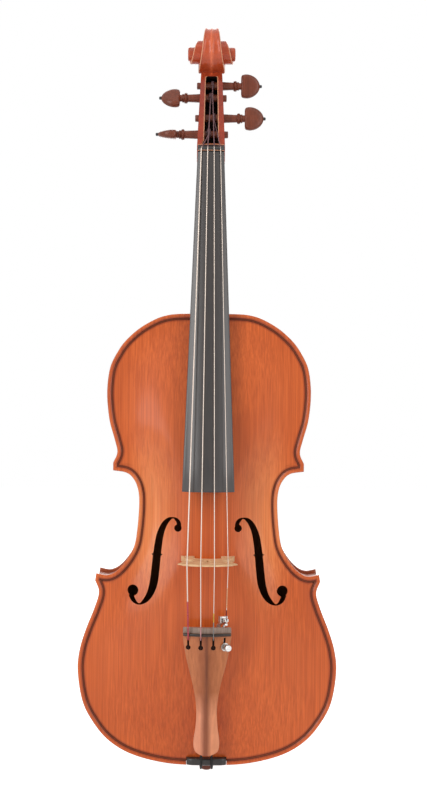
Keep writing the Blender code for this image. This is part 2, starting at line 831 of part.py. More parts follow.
def circle(x, u, radius, count=20):
    return [
        (x + radius * math.cos(2 * math.pi * i / count), u + radius * math.sin(2 * math.pi * i / count))
        for i in range(count)
    ]


def sound_hole_cutters():
    outline = sound_hole_outline()
    depth = (-CUT_OVERRUN, BELLY_ARCH + CUT_OVERRUN)
    shapes = (("treble", outline), ("bass", mirrored(outline)))
    return [cutter(f"{side}_sound_hole", *prism(shape, *depth)) for side, shape in shapes]


def make_plates():
    top_plate = add_solid("top_plate", *PLATE_SHAPES["top_plate"], "varnished_spruce")
    for tool in sound_hole_cutters():
        cut(top_plate, tool)
    cut(top_plate, heel_cutter())
    cut(top_plate, saddle_cutter())
    back_plate = add_solid("back_plate", *PLATE_SHAPES["back_plate"], "varnished_maple")
    join(back_plate, button_tool())


def button_tool():
    """The half-round button of the back, which covers the foot of the neck."""
    half = BUTTON_WIDTH / 2
    rim = [
        (half * math.cos(a), BUTTON_FOOT - BUTTON_HEIGHT * math.sin(a)) for a in np.linspace(0, math.pi, 15)
    ]
    outline = [(half, BUTTON_OVERLAP), *rim, (-half, BUTTON_OVERLAP)]
    return cutter("button_tool", *prism(outline, -RIB_HEIGHT - EDGE_THICKNESS, -RIB_HEIGHT - SHY))


def heel_cutter():
    wide = HEEL_WIDTH / 2 + GLUE_GAP
    deep = MORTISE_DEPTH + GLUE_GAP
    outline = [(-wide, -CUT_OVERRUN), (wide, -CUT_OVERRUN), (wide, deep), (-wide, deep)]
    return cutter("heel_cutter", *prism(outline, -RIB_HEIGHT + SHY, EDGE_THICKNESS + CUT_OVERRUN))


def saddle_cutter():
    wide = SADDLE_WIDTH / 2 + GLUE_GAP
    start, end = SADDLE_START - GLUE_GAP, BODY_LENGTH + CUT_OVERRUN
    outline = [(-wide, start), (wide, start), (wide, end), (-wide, end)]
    return cutter("saddle_cutter", *prism(outline, -CUT_OVERRUN, EDGE_THICKNESS + CUT_OVERRUN))


def bout_line(bout, depth):
    """A bout of the treble outline moved inward by a depth, run on straight past both its ends."""
    line = smooth_curve(BOUTS[bout], RIB_STEPS[bout])
    ahead = np.gradient(line, axis=0)
    ahead /= np.linalg.norm(ahead, axis=1)[:, None]
    line = line + depth * np.stack([-ahead[:, 1], ahead[:, 0]], axis=1)
    return np.vstack([line[0] - LINE_OVERRUN * ahead[0], line, line[-1] + LINE_OVERRUN * ahead[-1]])


def lengths_along(line):
    return np.concatenate([[0], np.cumsum(np.linalg.norm(np.diff(line, axis=0), axis=1))])


def length_at(line, x):
    """Length along a line to the first place at a distance from the body's centre line."""
    places = lengths_along(line)
    for i in range(len(line) - 1):
        here, there = line[i][0] - x, line[i + 1][0] - x
        if here * there <= 0 and here != there:
            return places[i] + (places[i + 1] - places[i]) * here / (here - there)
    raise ValueError(f"the line doesn't reach x = {x}")


def length_at_crossing(line, other):
    """Length along a line to the place where it crosses the other."""
    places = lengths_along(line)
    for i in range(len(line) - 1):
        for j in range(len(other) - 1):
            along = line[i + 1] - line[i]
            across = other[j + 1] - other[j]
            turn = along[0] * across[1] - along[1] * across[0]
            gap = other[j] - line[i]
            if abs(turn) < 1e-9:
                continue
            t = (gap[0] * across[1] - gap[1] * across[0]) / turn
            v = (gap[0] * along[1] - gap[1] * along[0]) / turn
            if 0 <= t <= 1 and 0 <= v <= 1:
                return places[i] + t * (places[i + 1] - places[i])
    raise ValueError("the lines of two bouts don't cross at their corner")


def stretch_of(line, start, end):
    """The points of a line between two lengths along it, with a point at each end."""
    places = lengths_along(line)

    def at(place):
        return float(np.interp(place, places, line[:, 0])), float(np.interp(place, places, line[:, 1]))

    between = [p for p in places if start + SHORTEST_STEP < p < end - SHORTEST_STEP]
    return [at(place) for place in (start, *between, end)]


def bout_ends(bout, depth):
    """Lengths along a bout's line to its two corners, or to the body's centre line."""
    line = bout_line(bout, depth)
    start = length_at(line, 0.0) if bout == 0 else length_at_crossing(line, bout_line(bout - 1, depth))
    end = length_at(line, 0.0) if bout == 2 else length_at_crossing(line, bout_line(bout + 1, depth))
    return line, start, end


def strip(bout, depth, thickness, trim):
    """The outline of a bent strip that follows a bout, cut short at its ends as trim says."""
    sides = []
    for inset in (depth, depth + thickness):
        line, start, end = bout_ends(bout, inset)
        sides.append(stretch_of(line, *trim(line, start, end)))
    return sides[0] + sides[1][::-1]


def rib_trim(bout):
    """Ribs end in a mitre at the corners, against the heel at the top and at each other below."""

    def trim(line, start, end):
        first = length_at(line, HEEL_WIDTH / 2 + GLUE_GAP) if bout == 0 else start + GLUE_GAP
        last = length_at(line, GLUE_GAP / 2) if bout == 2 else end - GLUE_GAP
        return first, last

    return trim


def lining_trim(bout):
    """Linings run from block to block."""
    corner = CORNER_BLOCK_REACH + GLUE_GAP

    def trim(line, start, end):
        first = length_at(line, UPPER_BLOCK[0] / 2 + GLUE_GAP) if bout == 0 else start + corner
        last = length_at(line, END_BLOCK[0] / 2 + GLUE_GAP) if bout == 2 else end - corner
        return first, last

    return trim


def make_ribs():
    back = -RIB_HEIGHT + GLUE_GAP
    for bout, name in enumerate(BOUT_NAMES):
        shape = strip(bout, OVERHANG, RIB_THICKNESS, rib_trim(bout))
        for side, flip in (("left", -1), ("right", 1)):
            outline = [(flip * x, u) for x, u in shape]
            rib = add_solid(f"{name}_rib_{side}", *prism(outline, back, -GLUE_GAP), "varnished_maple")
            if name == "lower":
                cut(rib, bpy.data.objects["shank_cutter"])


def make_linings():
    depth = OVERHANG + RIB_THICKNESS + GLUE_GAP
    heights = (
        ("front", -LINING_HEIGHT - GLUE_GAP, -GLUE_GAP),
        ("back", -RIB_HEIGHT + GLUE_GAP, -RIB_HEIGHT + LINING_HEIGHT + GLUE_GAP),
    )
    for bout, name in enumerate(BOUT_NAMES):
        shape = strip(bout, depth, LINING_THICKNESS, lining_trim(bout))
        for side, flip in (("left", -1), ("right", 1)):
            outline = [(flip * x, u) for x, u in shape]
            for face, low, high in heights:
                add_solid(f"{name}_lining_{face}_{side}", *prism(outline, low, high), "bare_spruce")


def make_blocks():
    depth = OVERHANG + RIB_THICKNESS + GLUE_GAP
    heights = (-RIB_HEIGHT + GLUE_GAP, -GLUE_GAP)

    line, start, _ = bout_ends(0, depth)
    half, deep = UPPER_BLOCK[0] / 2, depth + UPPER_BLOCK[1]
    edge = stretch_of(line, start, length_at(line, half))
    outline = mirrored(edge[:0:-1]) + edge + [(half, deep), (-half, deep)]
    block = add_solid("upper_block", *prism(outline, *heights), "bare_spruce")
    cut(block, bpy.data.objects["heel_cutter"])

    line, _, end = bout_ends(2, depth)
    half, deep = END_BLOCK[0] / 2, BODY_LENGTH - depth - END_BLOCK[1]
    edge = stretch_of(line, length_at(line, half), end)
    outline = edge + mirrored(edge[-2::-1]) + [(-half, deep), (half, deep)]
    block = add_solid("end_block", *prism(outline, *heights), "bare_spruce")
    cut(block, bpy.data.objects["shank_cutter"])

    for corner, name in enumerate(("upper", "lower")):
        above, _, tip = bout_ends(corner, depth)
        below, tip_below, _ = bout_ends(corner + 1, depth)
        shape = stretch_of(above, tip - CORNER_BLOCK_REACH, tip)
        shape += stretch_of(below, tip_below, tip_below + CORNER_BLOCK_REACH)[1:]
        for side, outline in (("left", mirrored(shape)), ("right", shape)):
            add_solid(f"{name}_corner_block_{side}", *prism(outline, *heights), "bare_spruce")


def bass_bar_section(u):
    """Fitted to the belly on its upper side, and deepest at its middle."""
    share = (u - BODY_LENGTH / 2) / (BASS_BAR_LENGTH / 2)
    deep = BASS_BAR_END_HEIGHT + (BASS_BAR_HEIGHT - BASS_BAR_END_HEIGHT) * (1 - share**2)
    left, right = -BASS_BAR_OFFSET - BASS_BAR_WIDTH / 2, -BASS_BAR_OFFSET + BASS_BAR_WIDTH / 2
    fitted_face = [(x, u, belly_inside(x, u) - FITTED_GAP) for x in (left, -BASS_BAR_OFFSET, right)]
    low = min(h for _, _, h in fitted_face) - deep
    return [*fitted_face, (right, u, low), (left, u, low)]


def make_inside():
    middle, half = BODY_LENGTH / 2, BASS_BAR_LENGTH / 2
    stations = np.linspace(middle - half, middle + half, BASS_BAR_STATIONS)
    add_solid("bass_bar", *loft([bass_bar_section(u) for u in stations]), "bare_spruce")
    u = BODY_STOP + BRIDGE_FOOT_THICKNESS + SOUND_POST_BEHIND
    rim = circle(SOUND_POST_OFFSET, u, SOUND_POST_RADIUS, SOUND_POST_SIDES)
    low = max(back_inside(x, v) for x, v in rim) + GLUE_GAP
    high = min(belly_inside(x, v) for x, v in rim) - GLUE_GAP
    add_solid("sound_post", *prism(rim, low, high), "bare_spruce")


# Neck and head


def neck_section(u, width, back, square, count=9):
    """A section across the neck: flat under the fingerboard and rounded behind."""
    front = glue_plane(u)
    shoulder = front - NECK_SHOULDER
    points = [(width / 2, u, front)]
    for a in np.linspace(0, math.pi, count + 1):
        x = width / 2 * math.copysign(abs(math.cos(a)) ** square, math.cos(a))
        points.append((x, u, shoulder - (shoulder - back) * math.sin(a) ** square))
    points.append((-width / 2, u, front))
    return points


def neck_shaft_sections():
    """From the heel's foot in the upper block, up the heel's curve, to just short of the nut."""
    foot = -RIB_HEIGHT + GLUE_GAP
    sections = [neck_section(u, HEEL_WIDTH, foot, 0.55) for u in (MORTISE_DEPTH, 0.0, -HEEL_REACH)]
    chamfer, lift = HEEL_CHAMFER
    sections.append(neck_section(-HEEL_REACH - chamfer, HEEL_WIDTH, foot + lift, 0.55))
    curve = [above for above, _ in HEEL_CURVE[:-2]]
    top = NECK_STOP - NECK_TOP_INSET
    straight = list(np.linspace(curve[-1], top, NECK_STATIONS + 1)[1:])
    for above in curve + straight:
        u = -float(above)
        thick = NECK_THICKNESS + smooth_value(HEEL_CURVE, above)
        sections.append(neck_section(u, 2 * fingerboard_half_width(u), glue_plane(u) - thick, 0.85))
    return sections


def neck_end_sections():
    """The neck runs a little way into the head, where the two are one piece of wood."""
    base = glue_plane(NECK_TOP_INSET - NECK_STOP) - NECK_THICKNESS
    return [
        neck_section(-NECK_STOP - beyond, NUT_WIDTH - 2 * GLUE_GAP, base - drop, 0.75)
        for beyond, drop in NECK_INTO_HEAD
    ]


def make_neck():
    sections = neck_shaft_sections() + neck_end_sections()
    neck = add_solid("neck", *loft(sections), "varnished_maple")
    join(neck, head_tool())
    join(neck, eye_tool())
    cut(neck, cavity_cutter())
    for name, *_ in PEGS:
        cut(neck, bpy.data.objects[f"peg_hole_{name}"])


def spiral_radius(turn):
    shrink = BACK_SHRINK if turn < 0 else SCROLL_SHRINK
    return SCROLL_RADIUS * shrink**turn


def spiral_point(turn, sunk=0.0):
    """A point of the spiral in (u, h): turn 0 is the top, and a quarter turn on is the front."""
    radius = spiral_radius(turn) - sunk
    angle = 2 * math.pi * turn
    return EYE_AT[0] - radius * math.cos(angle), EYE_AT[1] + radius * math.sin(angle)


def cheek_half_width(u):
    """Half width of the head's flat cheeks, narrowing from the nut to the top of the scroll."""
    throat = spiral_point(0.5)[0]
    top = spiral_point(0.0)[0]
    widths = (smooth_value(SCROLL_WIDTHS, 0.0), PEGBOX_WIDTH_AT_THROAT / 2, PEGBOX_WIDTH_AT_NUT / 2)
    return float(np.interp(u, (top, throat, NUT_END), widths))


def head_edge_width(turn):
    """Where the turn's outer edge lies: on the cheek behind, and free of it further in."""
    return cheek_half_width(spiral_point(turn)[0]) if turn <= 0 else smooth_value(SCROLL_WIDTHS, turn)


def pegbox_front(u):
    """Height of the pegbox's front edge, on a line from the nut to the throat."""
    start = glue_plane(-NECK_STOP) - PEGBOX_FRONT_BELOW
    throat_u, throat_h = spiral_point(THROAT_TURN)
    return start + (u - NUT_END) / (throat_u - NUT_END) * (throat_h - start)


def pegbox_back(u):
    return smooth_value([(-place, h) for place, h in PEGBOX_OUTLINE], -u)


def spiral_turns():
    """The stations of the spiral, the one at the throat, and the last."""
    count = round((SCROLL_TURNS + BACK_TURN) * SCROLL_STEPS)
    turns = [i / SCROLL_STEPS - BACK_TURN for i in range(count + 1)]
    throat = min(range(count + 1), key=lambda i: abs(turns[i] - THROAT_TURN))
    return turns, throat, count


def head_side(skin, flip):
    """One cheek with the spiral that stands on it: every turn starts from the one before it."""
    turns, throat, last = spiral_turns()
    edge = [skin.put(flip * head_edge_width(t), *spiral_point(t)) for t in turns]
    wall = {}
    for i in range(throat, last + 1):
        place = spiral_point(turns[i])
        before = i - SCROLL_STEPS
        width = cheek_half_width(place[0]) if before < 0 else head_edge_width(turns[before]) - SIDE_HOLLOW
        wall[i] = skin.put(flip * width, *place)
    start = -NECK_STOP - PEGBOX_START
    behind = [(start, pegbox_back(start))] + [row for row in PEGBOX_OUTLINE if row[0] < start]
    back = [skin.put(flip * cheek_half_width(u), u, h) for u, h in behind]
    ahead = [(start, glue_plane(start) - PEGBOX_FRONT_BELOW - GLUE_GAP)]
    ahead += [(u, pegbox_front(u)) for u in np.linspace(NUT_END, spiral_point(turns[throat])[0], 4)[:-1]]
    front = [skin.put(flip * cheek_half_width(u), u, h) for u, h in ahead]

    base = [wall[i] for i in range(throat, SCROLL_STEPS + 1)]
    skin.faces.append((*front, *base, edge[0], *back[::-1]))
    skin.band(edge[: last - SCROLL_STEPS + 1], [wall[i] for i in range(SCROLL_STEPS, last + 1)])
    skin.band([wall[i] for i in range(throat, last + 1)], edge[throat:])
    skin.faces.append((*edge[last - SCROLL_STEPS :], wall[last]))
    return edge, wall[throat], back, front


def fluted_row(skin, right, left):
    """A row across the head: two flutes, and the spine between them."""
    x, u, h = skin.points[right]
    pull = FLUTE_DEPTH / math.hypot(u - EYE_AT[0], h - EYE_AT[1])
    flute_u = u + (EYE_AT[0] - u) * pull
    flute_h = h + (EYE_AT[1] - h) * pull
    middle = [skin.put(x / 2, flute_u, flute_h), skin.put(0.0, u, h), skin.put(-x / 2, flute_u, flute_h)]
    return [right, *middle, left]


def head_tool():
    """Pegbox and scroll as one closed skin: cheeks, spiral sides, spiral walls and the fluted band."""
    skin = Skin()
    turns, throat, _ = spiral_turns()
    edge_r, wall_r, back_r, front_r = head_side(skin, 1)
    edge_l, wall_l, back_l, front_l = head_side(skin, -1)
    outer_r = [*back_r, *edge_r[: throat + 1]]
    outer_l = [*back_l, *edge_l[: throat + 1]]
    rows = [fluted_row(skin, right, left) for right, left in zip(outer_r, outer_l)]
    for here, there in zip(rows[:-1], rows[1:]):
        skin.band(here, there)
    skin.points[rows[-1][2]] = (0.0, *spiral_point(turns[throat], FLUTE_DEPTH))
    skin.faces.append((*rows[-1], wall_l, wall_r))
    skin.band([*front_r, wall_r], [*front_l, wall_l])
    skin.faces.append((front_r[0], *rows[0], front_l[0]))
    return cutter("head_tool", skin.points, skin.faces)


def eye_tool():
    half = EYE_HALF_WIDTH
    small = EYE_RADIUS - EYE_ROUND
    profile = [
        (-half, small), (EYE_ROUND - half, EYE_RADIUS), (half - EYE_ROUND, EYE_RADIUS), (half, small),
    ]
    return cutter("eye_tool", *turned(profile, (0, *EYE_AT), (1, 0, 0), EYE_SIDES))


def wall_thickness(u):
    share = (u - NUT_END) / (spiral_point(THROAT_TURN)[0] - NUT_END)
    return PEGBOX_WALL_AT_NUT + (PEGBOX_WALL_AT_THROAT - PEGBOX_WALL_AT_NUT) * share


def cavity_cutter():
    """The open trough between the cheeks, flared at the nut and running on under the throat."""
    sections = []
    for beyond, closer, rise in CAVITY:
        u = -NECK_STOP - beyond
        half = cheek_half_width(u) - wall_thickness(u) - closer
        floor = pegbox_back(u) + PEGBOX_FLOOR + rise
        roof = pegbox_front(u) + CAVITY_ROOF
        if beyond > CAVITY_MOUTH:
            roof = pegbox_front(-NECK_STOP - CAVITY_MOUTH) + CAVITY_END_ROOF
        sections.append([(half, u, floor), (half, u, roof), (-half, u, roof), (-half, u, floor)])
    return cutter("cavity_cutter", *loft(sections))


def make_fingerboard():
    sections = []
    for u in np.linspace(-NECK_STOP + GLUE_GAP, FINGERBOARD_END, 7):
        half = fingerboard_half_width(u)
        low = glue_plane(u) + GLUE_GAP
        foot = half - FINGERBOARD_UNDERCUT
        crown = [(x, u, fingerboard_top(x, u)) for x in np.linspace(half, -half, 11)]
        sections.append([(foot, u, low), *crown, (-foot, u, low)])
    add_solid("fingerboard", *loft(sections), "ebony")


def string_at(index, u):
    """Centre of a string between the nut and the bridge."""
    radius = STRINGS[index][1]
    nut_x, bridge_x = nut_place(index), bridge_place(index)
    nut_h = fingerboard_top(nut_x, -NECK_STOP) + NUT_STRING_HEIGHT + radius
    bridge_h = bridge_top(bridge_x) + STRING_GAP + radius
    share = (u + NECK_STOP) / (bridge_u() + NECK_STOP)
    return nut_x + (bridge_x - nut_x) * share, u, nut_h + (bridge_h - nut_h) * share


def nut_place(index):
    return NUT_SPACING * (index / 3 - 0.5)


def bridge_place(index):
    return BRIDGE_SPACING * (index / 3 - 0.5)


def bridge_u():
    """Where the strings leave the bridge, at the middle of its thin top edge."""
    return BODY_STOP + BRIDGE_FOOT_THICKNESS - BRIDGE_TOP_THICKNESS / 2


def bridge_top(x):
    return BRIDGE_HEIGHT - BRIDGE_ARCH_RADIUS + math.sqrt(BRIDGE_ARCH_RADIUS**2 - x**2)


def make_nut():
    half = NUT_WIDTH / 2
    start = -NECK_STOP - GLUE_GAP
    end = NUT_END + GLUE_GAP
    sections = []
    for share, drop in NUT_BACK:
        u = start + (end - start) * share
        low = glue_plane(u) + GLUE_GAP
        crown = []
        for x in np.linspace(half, -half, 9):
            top = fingerboard_top(x, -NECK_STOP) + NUT_STRING_HEIGHT - STRING_GAP - drop
            crown.append((x, u, top - NECK_SLOPE * (start - u)))
        sections.append([(half, u, low), *crown, (-half, u, low)])
    add_solid("nut", *loft(sections), "ebony")


# Fittings


def bridge_outline():
    """The bridge seen along the strings: arched top, waist, two feet on the belly and the arch between."""
    heel, toe = BRIDGE_FOOT_REACH, BRIDGE_FOOT_REACH - BRIDGE_FOOT_LENGTH
    middle = (heel + toe) / 2

    def seat(x):
        return max(belly(x, BODY_STOP), belly(x, BODY_STOP + BRIDGE_FOOT_THICKNESS)) + GLUE_GAP

    outside, inside = seat(heel), seat(toe)
    crown = [(x, bridge_top(x)) for x in np.linspace(0, BRIDGE_CROWN_REACH, 8)]
    foot = [
        (heel - BRIDGE_ANKLE, outside + BRIDGE_FOOT_HEIGHT + BRIDGE_ANKLE),
        (heel, outside + BRIDGE_FOOT_HEIGHT), (heel, outside), (middle, seat(middle)), (toe, inside),
        (toe, inside + BRIDGE_FOOT_HEIGHT),
        (toe + BRIDGE_ANKLE, inside + BRIDGE_FOOT_HEIGHT + BRIDGE_ANKLE),
    ]
    half = [*crown, (BRIDGE_SIDE[0][0], bridge_top(BRIDGE_CROWN_REACH) - BRIDGE_CROWN_DROP)]
    half += [*BRIDGE_SIDE[1:], *foot, *BRIDGE_ARCHWAY]
    return half + mirrored(half[-2:0:-1])


def bridge_thickness(h):
    share = min(1.0, max(0.0, (h - BRIDGE_THICK_UP_TO) / (BRIDGE_HEIGHT - BRIDGE_THICK_UP_TO)))
    return BRIDGE_FOOT_THICKNESS + (BRIDGE_TOP_THICKNESS - BRIDGE_FOOT_THICKNESS) * share


def make_bridge():
    rear = BODY_STOP + BRIDGE_FOOT_THICKNESS
    outline = bridge_outline()
    front_face = [(x, rear - bridge_thickness(h), h) for x, h in outline]
    rear_face = [(x, rear, h) for x, h in outline]
    bridge = add_solid("bridge", *loft([front_face, rear_face]), "bare_maple")
    heart = [*BRIDGE_HEART, *mirrored(BRIDGE_HEART[-2:0:-1])]
    ends = (BODY_STOP - CUT_OVERRUN, rear + CUT_OVERRUN)
    cut(bridge, cutter("heart_cutter", *loft([[(x, u, h) for x, h in heart] for u in ends])))


def tailpiece_half_width(u):
    return smooth_value(TAILPIECE_WIDTHS, (u - TAILPIECE_START) / TAILPIECE_LENGTH) / 2


def tailpiece_crest(u):
    """Height of the tailpiece's ridge."""
    share = (u - TAILPIECE_START) / TAILPIECE_LENGTH
    return TAILPIECE_FRONT + (TAILPIECE_BACK - TAILPIECE_FRONT) * share


def tailpiece_top(x, u):
    half = tailpiece_half_width(u)
    crown = TAILPIECE_CROWN * min(1.0, 2 * half / TAILPIECE_WIDTHS[0][1])
    return tailpiece_crest(u) - crown * min(1.0, abs(x) / half) ** 1.5


def tailpiece_under(x, u):
    """The hollowed underside, which comes up to a thin edge at the sides."""
    half = tailpiece_half_width(u)
    low = max(tailpiece_top(half, u) - TAILPIECE_EDGE, tailpiece_top(x, u) - TAILPIECE_THICKNESS)
    return low - TAILPIECE_HOLLOW * (1 - abs(x) / half)


def make_tailpiece():
    sections = []
    for share in TAILPIECE_STATIONS:
        u = TAILPIECE_START + TAILPIECE_LENGTH * share
        half = tailpiece_half_width(u)
        over = [(x, u, tailpiece_top(x, u)) for x in np.linspace(half, -half, 9)]
        under = [(x, u, tailpiece_under(x, u)) for x in np.linspace(-half, half, 5)]
        sections.append([*over, *under])
    piece = add_solid("tailpiece", *loft(sections), "boxwood")
    start, end = TAILPIECE_START + KEYHOLE_START, TAILPIECE_START + KEYHOLE_END
    depth = (0.0, TAILPIECE_FRONT + CUT_OVERRUN)
    for index in range(3):
        x = tail_place(index)
        slit = [
            (x - KEYHOLE_SLIT, start), (x + KEYHOLE_SLIT, start), (x + KEYHOLE_SLIT, end),
            (x - KEYHOLE_SLIT, end),
        ]
        cut(piece, cutter(f"keyhole_slit_{index}", *prism(slit, *depth)))
        cut(piece, cutter(f"keyhole_{index}", *prism(circle(x, end, KEYHOLE_RADIUS, 14), *depth)))
    reach = TAILPIECE_FRONT / 2
    around = TUNER_TUBE_RADIUS + FITTED_GAP
    cut(piece, cutter("tuner_hole", *tuner_turned([(-reach, around), (reach, around)])))
    slit = [(start, -reach), (start, reach), (TUNER_HOLE_U, reach), (TUNER_HOLE_U, -reach)]
    cut(piece, cutter("tuner_slit", *tuner_loft(slit, -KEYHOLE_SLIT, KEYHOLE_SLIT)))


def tail_place(index):
    return TAIL_SPACING * (index / 3 - 0.5)


def fret_top(x):
    return tailpiece_top(x, TAILPIECE_START + FRET_AT) + GLUE_GAP + FRET_HEIGHT


def make_fret():
    start = TAILPIECE_START + FRET_AT
    end = start + FRET_LENGTH
    half = tailpiece_half_width(start) - FRET_INSET
    sections = []
    for x in np.linspace(half, -half, 9):
        low, high = fret_top(x) - FRET_HEIGHT, fret_top(x)
        sections.append([
            (x, start, low), (x, start, high - FRET_ROUND), (x, (start + end) / 2, high),
            (x, end, high - FRET_ROUND), (x, end, low),
        ])
    add_solid("tailpiece_fret", *loft(sections), "boxwood")


def make_saddle():
    half = SADDLE_WIDTH / 2
    end = SADDLE_START + SADDLE_LENGTH
    rows = [(half - inward, drop) for inward, drop in SADDLE_ENDS]
    sections = []
    for x, drop in [*rows, (0.0, 0.0), *mirrored(rows[::-1])]:
        top = SADDLE_HEIGHT - drop
        sections.append([
            (x, SADDLE_START, GLUE_GAP), (x, SADDLE_START, top - SADDLE_ROUND),
            (x, SADDLE_START + SADDLE_ROUND, top), (x, end - SADDLE_ROUND, top),
            (x, end, top - SADDLE_ROUND), (x, end, GLUE_GAP),
        ])
    add_solid("saddle", *loft(sections), "ebony")


def button_axis():
    """Where the end button's axis comes out of the ribs."""
    return 0.0, BODY_LENGTH - OVERHANG, -RIB_HEIGHT / 2


def make_end_button():
    neck = GLUE_GAP + END_BUTTON_NECK_LENGTH
    head = END_BUTTON_OUT - neck
    profile = [
        (-END_BUTTON_SHANK_LENGTH, END_BUTTON_SHANK - GLUE_GAP), (GLUE_GAP, END_BUTTON_SHANK),
        (2 * GLUE_GAP, END_BUTTON_NECK + GLUE_GAP), (neck / 2, END_BUTTON_NECK), (neck, END_BUTTON_NECK),
        (neck + 0.25 * head, 0.93 * END_BUTTON_RADIUS), (neck + 0.45 * head, END_BUTTON_RADIUS),
        (neck + 0.75 * head, 0.94 * END_BUTTON_RADIUS), (neck + 0.92 * head, 0.72 * END_BUTTON_RADIUS),
        (END_BUTTON_OUT, END_BUTTON_FLAT),
    ]
    shape = turned(profile, button_axis(), (0, 1, 0), END_BUTTON_SIDES)
    add_solid("end_button", *shape, "boxwood")


def shank_cutter():
    """The button's hole through the end block and the joint of the two lower ribs."""
    radius = END_BUTTON_SHANK + GLUE_GAP
    profile = [(-END_BUTTON_SHANK_LENGTH - GLUE_GAP, radius), (CUT_OVERRUN, radius)]
    return cutter("shank_cutter", *turned(profile, button_axis(), (0, 1, 0), END_BUTTON_SIDES))


def make_tailgut():
    """The cord from the tailpiece over the saddle and round the neck of the end button."""
    top = SADDLE_HEIGHT + TAILGUT_RADIUS + GLUE_GAP
    out = BODY_LENGTH - OVERHANG + 2 * GLUE_GAP + END_BUTTON_NECK_LENGTH / 2 + TAILGUT_RADIUS
    middle = button_axis()[2]
    spread = TAILGUT_SPREAD
    side = [
        (spread, TAILPIECE_END - TAILGUT_GRIP, TAILPIECE_BACK - TAILGUT_START_DEPTH),
        (spread, TAILPIECE_END + 1.0, top + 2.4),
        (spread, SADDLE_START + 1.6, top + 0.3), (spread, SADDLE_START + 4.4, top),
        (spread + 0.1, SADDLE_START + 6.8, top - 1.6), (spread + 0.3, out + 0.9, top - 4.6),
        (spread + 0.6, out + 0.6, 0.0), (TAILGUT_SPREAD_AT_BUTTON, out, middle + 5.0),
    ]
    ring = END_BUTTON_NECK + TAILGUT_RADIUS + FITTED_GAP
    around = [
        (ring * math.cos(a), out, middle - ring * math.sin(a))
        for a in np.linspace(0.0, math.pi, TAILGUT_ROUND_STEPS + 1)
    ]
    tube("tailgut", side + around + mirrored(side)[::-1], TAILGUT_RADIUS, "cord")


# Pegs and strings


def peg_axis(beyond):
    """Where a peg's axis crosses the middle of the head, set back from the pegbox's front edge."""
    u = -NECK_STOP - beyond
    return 0.0, u, pegbox_front(u) - PEG_SET_BACK


def make_peg_holes():
    for name, side, beyond, *_ in PEGS:
        axis = peg_axis(beyond)
        half = cheek_half_width(axis[1])
        far = half + PEG_HOLE_ALLOWANCE
        slope = (PEG_RADIUS - PEG_TIP_RADIUS) / (2 * half)
        middle = (PEG_RADIUS + PEG_TIP_RADIUS) / 2 + PEG_CLEARANCE
        profile = [(-far, middle - slope * far), (far, middle + slope * far)]
        cutter(f"peg_hole_{name}", *turned(profile, axis, (side, 0, 0), 20))


def make_pegs():
    for name, side, beyond, turn, length in PEGS:
        axis = peg_axis(beyond)
        half = cheek_half_width(axis[1])
        head = half + length
        bead = head - PEG_NECK_LENGTH - PEG_BEAD_LENGTH
        ring = bead - PEG_RING_LENGTH
        tip = -half - PEG_TIP_OUT
        profile = [
            (tip, PEG_TIP_RADIUS - PEG_TIP_ROUND), (tip + PEG_TIP_ROUND, PEG_TIP_RADIUS),
            (-half, PEG_TIP_RADIUS), (half, PEG_RADIUS), (ring, PEG_WAIST_RADIUS),
            (ring + 0.2 * PEG_RING_LENGTH, PEG_RING_RADIUS), (bead - 0.2 * PEG_RING_LENGTH, PEG_RING_RADIUS),
            (bead, PEG_WAIST_RADIUS), (bead + 0.5 * PEG_BEAD_LENGTH, PEG_BEAD_RADIUS),
            (bead + PEG_BEAD_LENGTH, PEG_NECK_RADIUS), (head + PEG_NECK_LENGTH, PEG_NECK_RADIUS),
        ]
        points, faces = turned(profile, axis, (side, 0, 0), PEG_SIDES)
        peg = add_object(f"peg_{name}", mesh_of(f"peg_{name}", points, faces, axis), "boxwood", axis)
        join(peg, cutter(f"peg_head_{name}", *peg_head(axis, side, head, turn)))
        start = head + PEG_HEAD_LENGTH + GLUE_GAP
        end = start + PIP_LENGTH
        pip = [(start, PIP_RADIUS), (end - PIP_ROUND, PIP_RADIUS), (end, PIP_RADIUS - PIP_ROUND)]
        points, faces = turned(pip, axis, (side, 0, 0), PEG_SIDES)
        add_object(f"peg_pip_{name}", mesh_of(f"peg_pip_{name}", points, faces, axis), "ebony", axis)


def peg_head(axis, side, start, turn):
    """The thumb piece: straight towards the head, round at its end and hollowed on both faces."""
    angle = math.radians(turn)
    sections = []
    for share, width in PEG_HEAD_OUTLINE:
        half = width * PEG_HEAD_WIDTH / 2
        thick = min(half, PEG_HEAD_THICKNESS / 2 * (1 - PEG_HEAD_THINNING * share))
        section = []
        for a in np.linspace(0, 2 * math.pi, PEG_HEAD_SIDES, endpoint=False):
            wide = half * math.copysign(abs(math.cos(a)) ** 0.8, math.cos(a))
            deep = thick * math.copysign(abs(math.sin(a)) ** 0.9, math.sin(a))
            deep *= 1 - PEG_HEAD_DISH * (1 - abs(wide) / half)
            u = axis[1] + wide * math.cos(angle) - deep * math.sin(angle)
            h = axis[2] + wide * math.sin(angle) + deep * math.cos(angle)
            section.append((side * (start + share * PEG_HEAD_LENGTH), u, h))
        sections.append(section)
    return loft(sections)


def peg_of(string):
    return next(peg for peg in PEGS if peg[0] == string)


def winding_place(index):
    """Where a string's turns lie along its peg."""
    return nut_place(index) * WINDING_SPREAD


